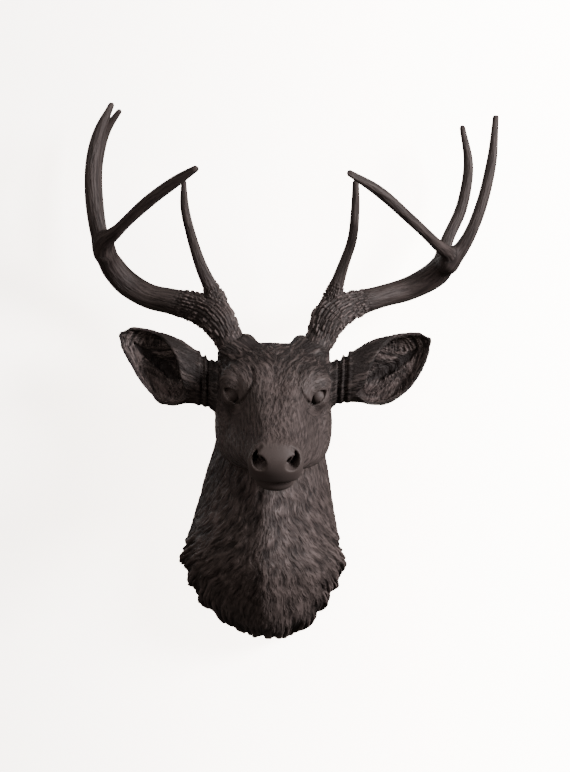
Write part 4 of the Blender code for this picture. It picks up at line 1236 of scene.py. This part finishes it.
def make_head():
    obj, points, normals, box = start_piece("head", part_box("head"), finished_head, HEAD_GRID)
    q = head_frame(points)
    right = np.stack([np.abs(q[:, 0]), q[:, 1], q[:, 2]], axis=1)
    on_neck = smooth(head_forms(points) - neck(points), *NECK_EDGE)
    on_ear = smooth(casting(points) - ears(points), *EAR_EDGE)
    on_back = smooth(points[:, 1], *BACK_EDGE) * smooth(normals[:, 1], *BACK_FACING)
    bare = bare_of_fur(right) * (1 - on_neck) * (1 - on_ear)
    fringe = smooth(-points[:, 2], *FRINGE_TOP) * smooth(points[:, 1], *FRINGE_FRONT) * on_neck
    brow = smooth(q[:, 1], *BROW_START) * smooth(q[:, 2], *BROW_FOOT) * (1 - on_neck)
    # Cheeks: only their tone changes, as painted light.
    cheek = smooth(-q[:, 2], *CHEEK_TOP) * (1 - on_neck) * (1 - on_ear)

    # The flow of the hair: the part of the head that counts most gives it, and it fades where two meet.
    te, se, inside, out, aside, crease = ear_strokes(points)
    tr, sr, on_lids = lid_strokes(right, points)
    flows = [face_strokes(q, points), neck_strokes(points, fringe), (te, se), (tr, sr)]
    shares = np.stack([FACE_SHARE + 0 * te, on_neck, EAR_SHARE * on_ear, on_lids * (1 - on_neck)], axis=1)
    chosen = shares.argmax(axis=1)
    ordered = np.sort(shares, axis=1)
    seam = smooth(ordered[:, -1] - ordered[:, -2], *SEAM_EDGE)
    seam *= 1 - on_ear * (1 - smooth(np.abs(inside - 0.5), *EAR_SEAM_EDGE))
    t = np.choose(chosen, [flow[0] for flow in flows])
    s = np.choose(chosen, [flow[1] for flow in flows])
    spread = spread_of(obj, t)

    regions = {
        "face": np.ones(len(points)),
        "brow": brow,
        "cheek": cheek,
        "neck": on_neck,
        "fringe": fringe,
        "ear": on_ear,
        "inside of the ear": inside * on_ear,
        "lids": on_lids,
    }
    added = [np.outer(COAT[name], share) for name, share in regions.items()]
    width, length, depth, contrast, level = sum(added)
    coat = tufts(t, s, spread, width, length, seed=5)
    ragged = smooth(np.abs(strands(t, s, spread, *FURROW_SIZE, seed=7) - 0.5), 0, FURROW_EDGE)
    relief = coat + (ragged - coat) * fringe
    channel, fold = ear_channel(t, out, aside, inside * on_ear)
    crease = crease * on_ear
    height = (relief - RELIEF_LEVEL) * depth * (1 - bare) * seam
    height -= CHANNEL_DEPTH * channel + FOLD_DEPTH * fold + CREASE_RELIEF * crease
    # Tone: painted shade in the fur's grooves and painted highlight on its tufts, each part's tone with
    # painted light on the cheeks and inside the ears, and painted shade in the ear's channel, its fold and
    # its creases.
    tone = (level + (relief - 0.5) * contrast) * (1 - channel) * (1 - FOLD_PAINTED_SHADE * fold)
    tone = (tone - CHANNEL_PAINTED_SHADE * channel) * (1 - CREASE_PAINTED_SHADE * np.clip(crease, 0, 1))
    move_to(obj, points + normals * (height * (1 - on_back) * MM)[:, None], box)
    strokes = np.stack([t, s, spread], axis=1)
    furry = (1 - bare) * (1 - on_back) * seam * (1 - LID_SMOOTHNESS * on_lids)
    finish_piece(obj, box, strokes=strokes, relief=tone * (1 - bare) + SKIN_TONE * bare, furry=furry)
    return obj


def nearest_on_routes(points, routes):
    """For each point, the turn round the nearest branch, the place along it, the radius, and the branch."""
    best = np.full(len(points), np.inf)
    grain = np.zeros((len(points), 3))
    branch = np.zeros(len(points))
    for number, route in enumerate(routes):
        ends = np.array(route)
        reach = np.concatenate([[0], np.cumsum(np.linalg.norm(np.diff(ends[:, :3], axis=0), axis=1))])
        side = np.array([0.0, -1, 0])
        for i in range(len(ends) - 1):
            along = ends[i + 1, :3] - ends[i, :3]
            length = np.linalg.norm(along)
            along /= length
            side -= along * (side @ along)
            side /= np.linalg.norm(side)
            up = np.cross(along, side)
            near = near_stretch(points, ends[i], ends[i + 1], BRANCH_REACH * ends[i, 3])
            away = points[near] - ends[i, :3]
            u = np.clip(away @ along, 0, length)
            off = away - u[:, None] * along
            radius = np.linalg.norm(off, axis=1)
            gap = radius - ends[i, 3] - u / length * (ends[i + 1, 3] - ends[i, 3])
            nearer = gap < best[near]
            turn = np.arctan2(off @ up, off @ side)
            best[near[nearer]] = gap[nearer]
            grain[near[nearer]] = np.stack([turn, reach[i] + u, radius], axis=1)[nearer]
            branch[near[nearer]] = number
    return (*grain.T, branch)


def make_antler(name, side, branches):
    foot, up = foot_of(side)
    routes = antler_routes(side, branches)

    def field(places):
        return antler_form(places, side, routes)

    obj, points, normals, box = start_piece(name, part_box(name), field, ANTLER_GRID)
    turn, along, radius, branch = nearest_on_routes(points, routes)
    ring = np.stack([np.cos(turn), np.sin(turn)], axis=1) * radius[:, None]

    def spots(width, length):
        """Places for noise with features this wide round the branch and this long along it, in mm."""
        return np.concatenate([ring / (width * MM), along[:, None] / (length * MM)], axis=1)

    pearled = (branch == 0) * (1 - smooth(along, *PEARLED_BEAM))
    pearled = pearled + (branch == 1) * (1 - smooth(along, *PEARLED_TINE))
    wander = ROW_WANDER[name] * (noise(spots(*ROW_WANDER_SIZE), seed=21) - 0.5)
    rows = smooth(np.abs(np.sin(turn * PEARL_ROWS + wander)), *ROW_EDGE)
    domes = smooth(pebbles(spots(PEARL_WIDTH, PEARL_LENGTH[name]), seed=24), *PEARL_EDGE)
    pearl = (1 - GROOVE_SHARE[name] * (1 - rows)) * (1 - DOME_SHARE * (1 - domes))
    grain = noise(spots(*GRAIN_SIZE), seed=27)
    height = pearled * (pearl - PEARL_LEVEL) * PEARL_HEIGHT + (1 - pearled) * (grain - 0.5) * GRAIN_HEIGHT
    height *= smooth((points - foot) @ up, *FOOT_EDGE) * MM
    move_to(obj, points + normals * height[:, None], box)
    flow = turn * BRANCH_RADIUS
    strokes = np.stack([flow, along / MM, spread_of(obj, flow)], axis=1)
    # Tone: painted shade in the grooves between the pearls and in the grain's hollows, lighter on their tops.
    tone = pearled * (PEARL_PAINTED_SHADE[0] + PEARL_PAINTED_SHADE[1] * pearl)
    tone = tone + (1 - pearled) * (GRAIN_TONE_AND_PAINTED_SHADE[0] + GRAIN_TONE_AND_PAINTED_SHADE[1] * grain)
    furry = PEARL_HAIR + (GRAIN_HAIR - PEARL_HAIR) * (1 - pearled)
    finish_piece(obj, box, strokes=strokes, relief=tone, furry=furry)
    return obj


def fill_inputs(tree, node, inputs):
    """Gives each of a node's inputs its value, or a link from another node's output."""
    for key, value in inputs.items():
        if isinstance(value, bpy.types.NodeSocket):
            tree.links.new(value, node.inputs[key])
        else:
            node.inputs[key].default_value = value


def add_node(tree, kind, inputs, **settings):
    node = tree.nodes.new(kind)
    for key, value in settings.items():
        setattr(node, key, value)
    fill_inputs(tree, node, inputs)
    return node


def new_material(name, inputs):
    """A new material, its node tree, and its shader with these inputs."""
    material = bpy.data.materials.new(name)
    material.use_nodes = True
    shader = material.node_tree.nodes["Principled BSDF"]
    fill_inputs(material.node_tree, shader, inputs)
    return material, material.node_tree, shader


def stepped(tree, value, places, results=(0, 1)):
    """One result up to the first place, the other from the second on, and a smooth step between them."""
    inputs = dict(zip(("From Min", "From Max", "To Min", "To Max"), (*places, *results)), Value=value)
    node = add_node(tree, "ShaderNodeMapRange", inputs, interpolation_type="SMOOTHSTEP")
    return node.outputs["Result"]


def resin(name, hair_size):
    """Matt black paint over moulded hair, with painted shade between the hairs and painted highlight, greyer
    and browner, on them.
    """
    material, tree, shader = new_material(name, {"Specular IOR Level": 0.11})

    def maths(operation, *values):
        return add_node(tree, "ShaderNodeMath", dict(enumerate(values)), operation=operation).outputs["Value"]

    def attribute(key):
        return add_node(tree, "ShaderNodeAttribute", {}, attribute_name=key).outputs

    strokes = {"Vector": attribute("strokes")["Vector"]}
    across, along, spread = add_node(tree, "ShaderNodeSeparateXYZ", strokes).outputs
    relief, furry = attribute("relief")["Fac"], attribute("furry")["Fac"]

    def hairs(level):
        """Fine hair along the flow: 0 between the hairs and 1 on them."""
        width, length = hair_size
        spot = {
            "X": maths("MULTIPLY", maths("DIVIDE", across, width), maths("POWER", 2.0, level)),
            "Y": maths("DIVIDE", along, length),
            "Z": maths("MULTIPLY", level, LEVEL_SHIFT),
        }
        spot = add_node(tree, "ShaderNodeCombineXYZ", spot).outputs["Vector"]
        texture = add_node(tree, "ShaderNodeTexNoise", {"Vector": spot, **HAIR_NOISE})
        return stepped(tree, texture.outputs["Fac"], HAIR_EDGE)

    # Hair of an even width: where the flow spreads, one size gives way to the next finer one.
    level = maths("FLOOR", spread)
    share = stepped(tree, maths("SUBTRACT", spread, level), LEVEL_BLEND)
    sizes = {"Factor": share, "A": hairs(level), "B": hairs(maths("ADD", level, 1.0))}
    height = maths("MULTIPLY", add_node(tree, "ShaderNodeMix", sizes).outputs["Result"], furry)
    place = add_node(tree, "ShaderNodeTexCoord", {}).outputs["Object"]
    patches = add_node(tree, "ShaderNodeTexNoise", {"Vector": place, **PATCH_NOISE}).outputs["Fac"]
    # Colour: painted shade between the fine hairs and in the relief's hollows, painted highlight on their
    # tops, lighter bare skin, and random patches of wear.
    skin = maths("SUBTRACT", 1.0, furry)
    wear_and_painted_shade = maths("MULTIPLY", relief, RELIEF_TONE_AND_PAINTED_SHADE)
    for value, share in ((height, HAIR_PAINTED_SHADE), (patches, PATCH_WEAR), (skin, SKIN_WEAR)):
        wear_and_painted_shade = maths("MULTIPLY_ADD", value, share, wear_and_painted_shade)
    tone = add_node(tree, "ShaderNodeValToRGB", {"Fac": wear_and_painted_shade})
    tone.color_ramp.elements.new(TONES[1][0])
    for element, (position, color) in zip(tone.color_ramp.elements, TONES):
        element.position = position
        element.color = color
    rough = add_node(tree, "ShaderNodeMapRange", {"Value": wear_and_painted_shade, "To Min": 0.72, "To Max": 0.5})
    bump = add_node(tree, "ShaderNodeBump", {"Height": height, "Distance": 0.0009, "Strength": 1.0})
    looks = {
        "Base Color": tone.outputs["Color"],
        "Roughness": rough.outputs["Result"],
        "Normal": bump.outputs["Normal"],
    }
    fill_inputs(tree, shader, looks)
    return material


def wall():
    """A pale wall glowing with painted light, seen from the front only, so that views from behind see the
    back.
    """
    material, tree, shader = new_material("wall", WALL_PAINT)
    place = add_node(tree, "ShaderNodeTexCoord", {}).outputs["Object"]
    across = add_node(tree, "ShaderNodeSeparateXYZ", {"Vector": place}).outputs["X"]
    # Painted light: the glow rises from the left to the right, as if lit from the window.
    glow = stepped(tree, across, (-WALL_GLOW_REACH, WALL_GLOW_REACH), WALL_GLOW)
    fill_inputs(tree, shader, {"Emission Strength": glow})
    sides = {
        "Fac": add_node(tree, "ShaderNodeNewGeometry", {}).outputs["Backfacing"],
        1: shader.outputs["BSDF"],
        2: add_node(tree, "ShaderNodeBsdfTransparent", {}).outputs["BSDF"],
    }
    mixed = add_node(tree, "ShaderNodeMixShader", sides).outputs["Shader"]
    fill_inputs(tree, tree.nodes["Material Output"], {"Surface": mixed})
    half = WALL_SIZE / 2
    corners = [(x, WALL_GAP, z) for x, z in ((-half, -half), (half, -half), (half, half), (-half, half))]
    obj = make_mesh("wall", corners, [(0, 1, 2, 3)])
    obj.data.materials.append(material)
    # The glowing wall would wash out the dark resin, so it lights nothing.
    obj.visible_diffuse = False
    obj.visible_glossy = False
    obj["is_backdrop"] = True


def look_at(place, aim):
    """Matrix of a camera or light at this place that points at the aim."""
    place, aim = Vector(place), Vector(aim)
    return Matrix.Translation(place) @ (aim - place).to_track_quat("-Z", "Y").to_matrix().to_4x4()


def camera():
    data = bpy.data.cameras.new("camera")
    data.sensor_fit = "HORIZONTAL"
    data.sensor_width = 36
    data.lens = VIEW_LENS_MM
    data.clip_start = 0.05
    obj = bpy.data.objects.new("camera", data)
    turn = math.radians(VIEW_TURN_DEG)
    place = VIEW_TARGET + VIEW_DISTANCE * Vector((math.sin(turn), -math.cos(turn), 0))
    obj.matrix_world = look_at(place, VIEW_TARGET) @ Matrix.Rotation(math.radians(VIEW_ROLL_DEG), 4, "Z")
    bpy.context.scene.collection.objects.link(obj)
    bpy.context.scene.camera = obj


def soft_light(name, place, size, power, color):
    data = bpy.data.lights.new(name, "AREA")
    data.shape = "SQUARE"
    data.size = size
    data.energy = power
    data.color = color
    obj = bpy.data.objects.new(name, data)
    obj.matrix_world = look_at(place, LIGHT_AIM)
    bpy.context.scene.collection.objects.link(obj)


def lights():
    for light in LIGHTS:
        soft_light(*light)
    world = bpy.data.worlds.new("room")
    world.use_nodes = True
    background = world.node_tree.nodes["Background"]
    background.inputs["Color"].default_value = (1.0, 0.86, 0.78, 1)
    background.inputs["Strength"].default_value = 0.16
    bpy.context.scene.world = world


def main():
    camera()
    lights()
    wall()
    head = make_head()
    head.data.materials.append(resin("moulded_fur", HEAD_HAIR))
    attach(head, "root")
    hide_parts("head")
    bone = resin("moulded_antler", ANTLER_HAIR)
    for name, (side, branches) in ANTLERS.items():
        antler = make_antler(name, side, branches)
        antler.data.materials.append(bone)
        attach(antler, "root")
        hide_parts(name)


main()
sizes = {"cad": CAD_BOX, "visual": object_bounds()}
{key: [list(corner) for corner in box] for key, box in sizes.items()}
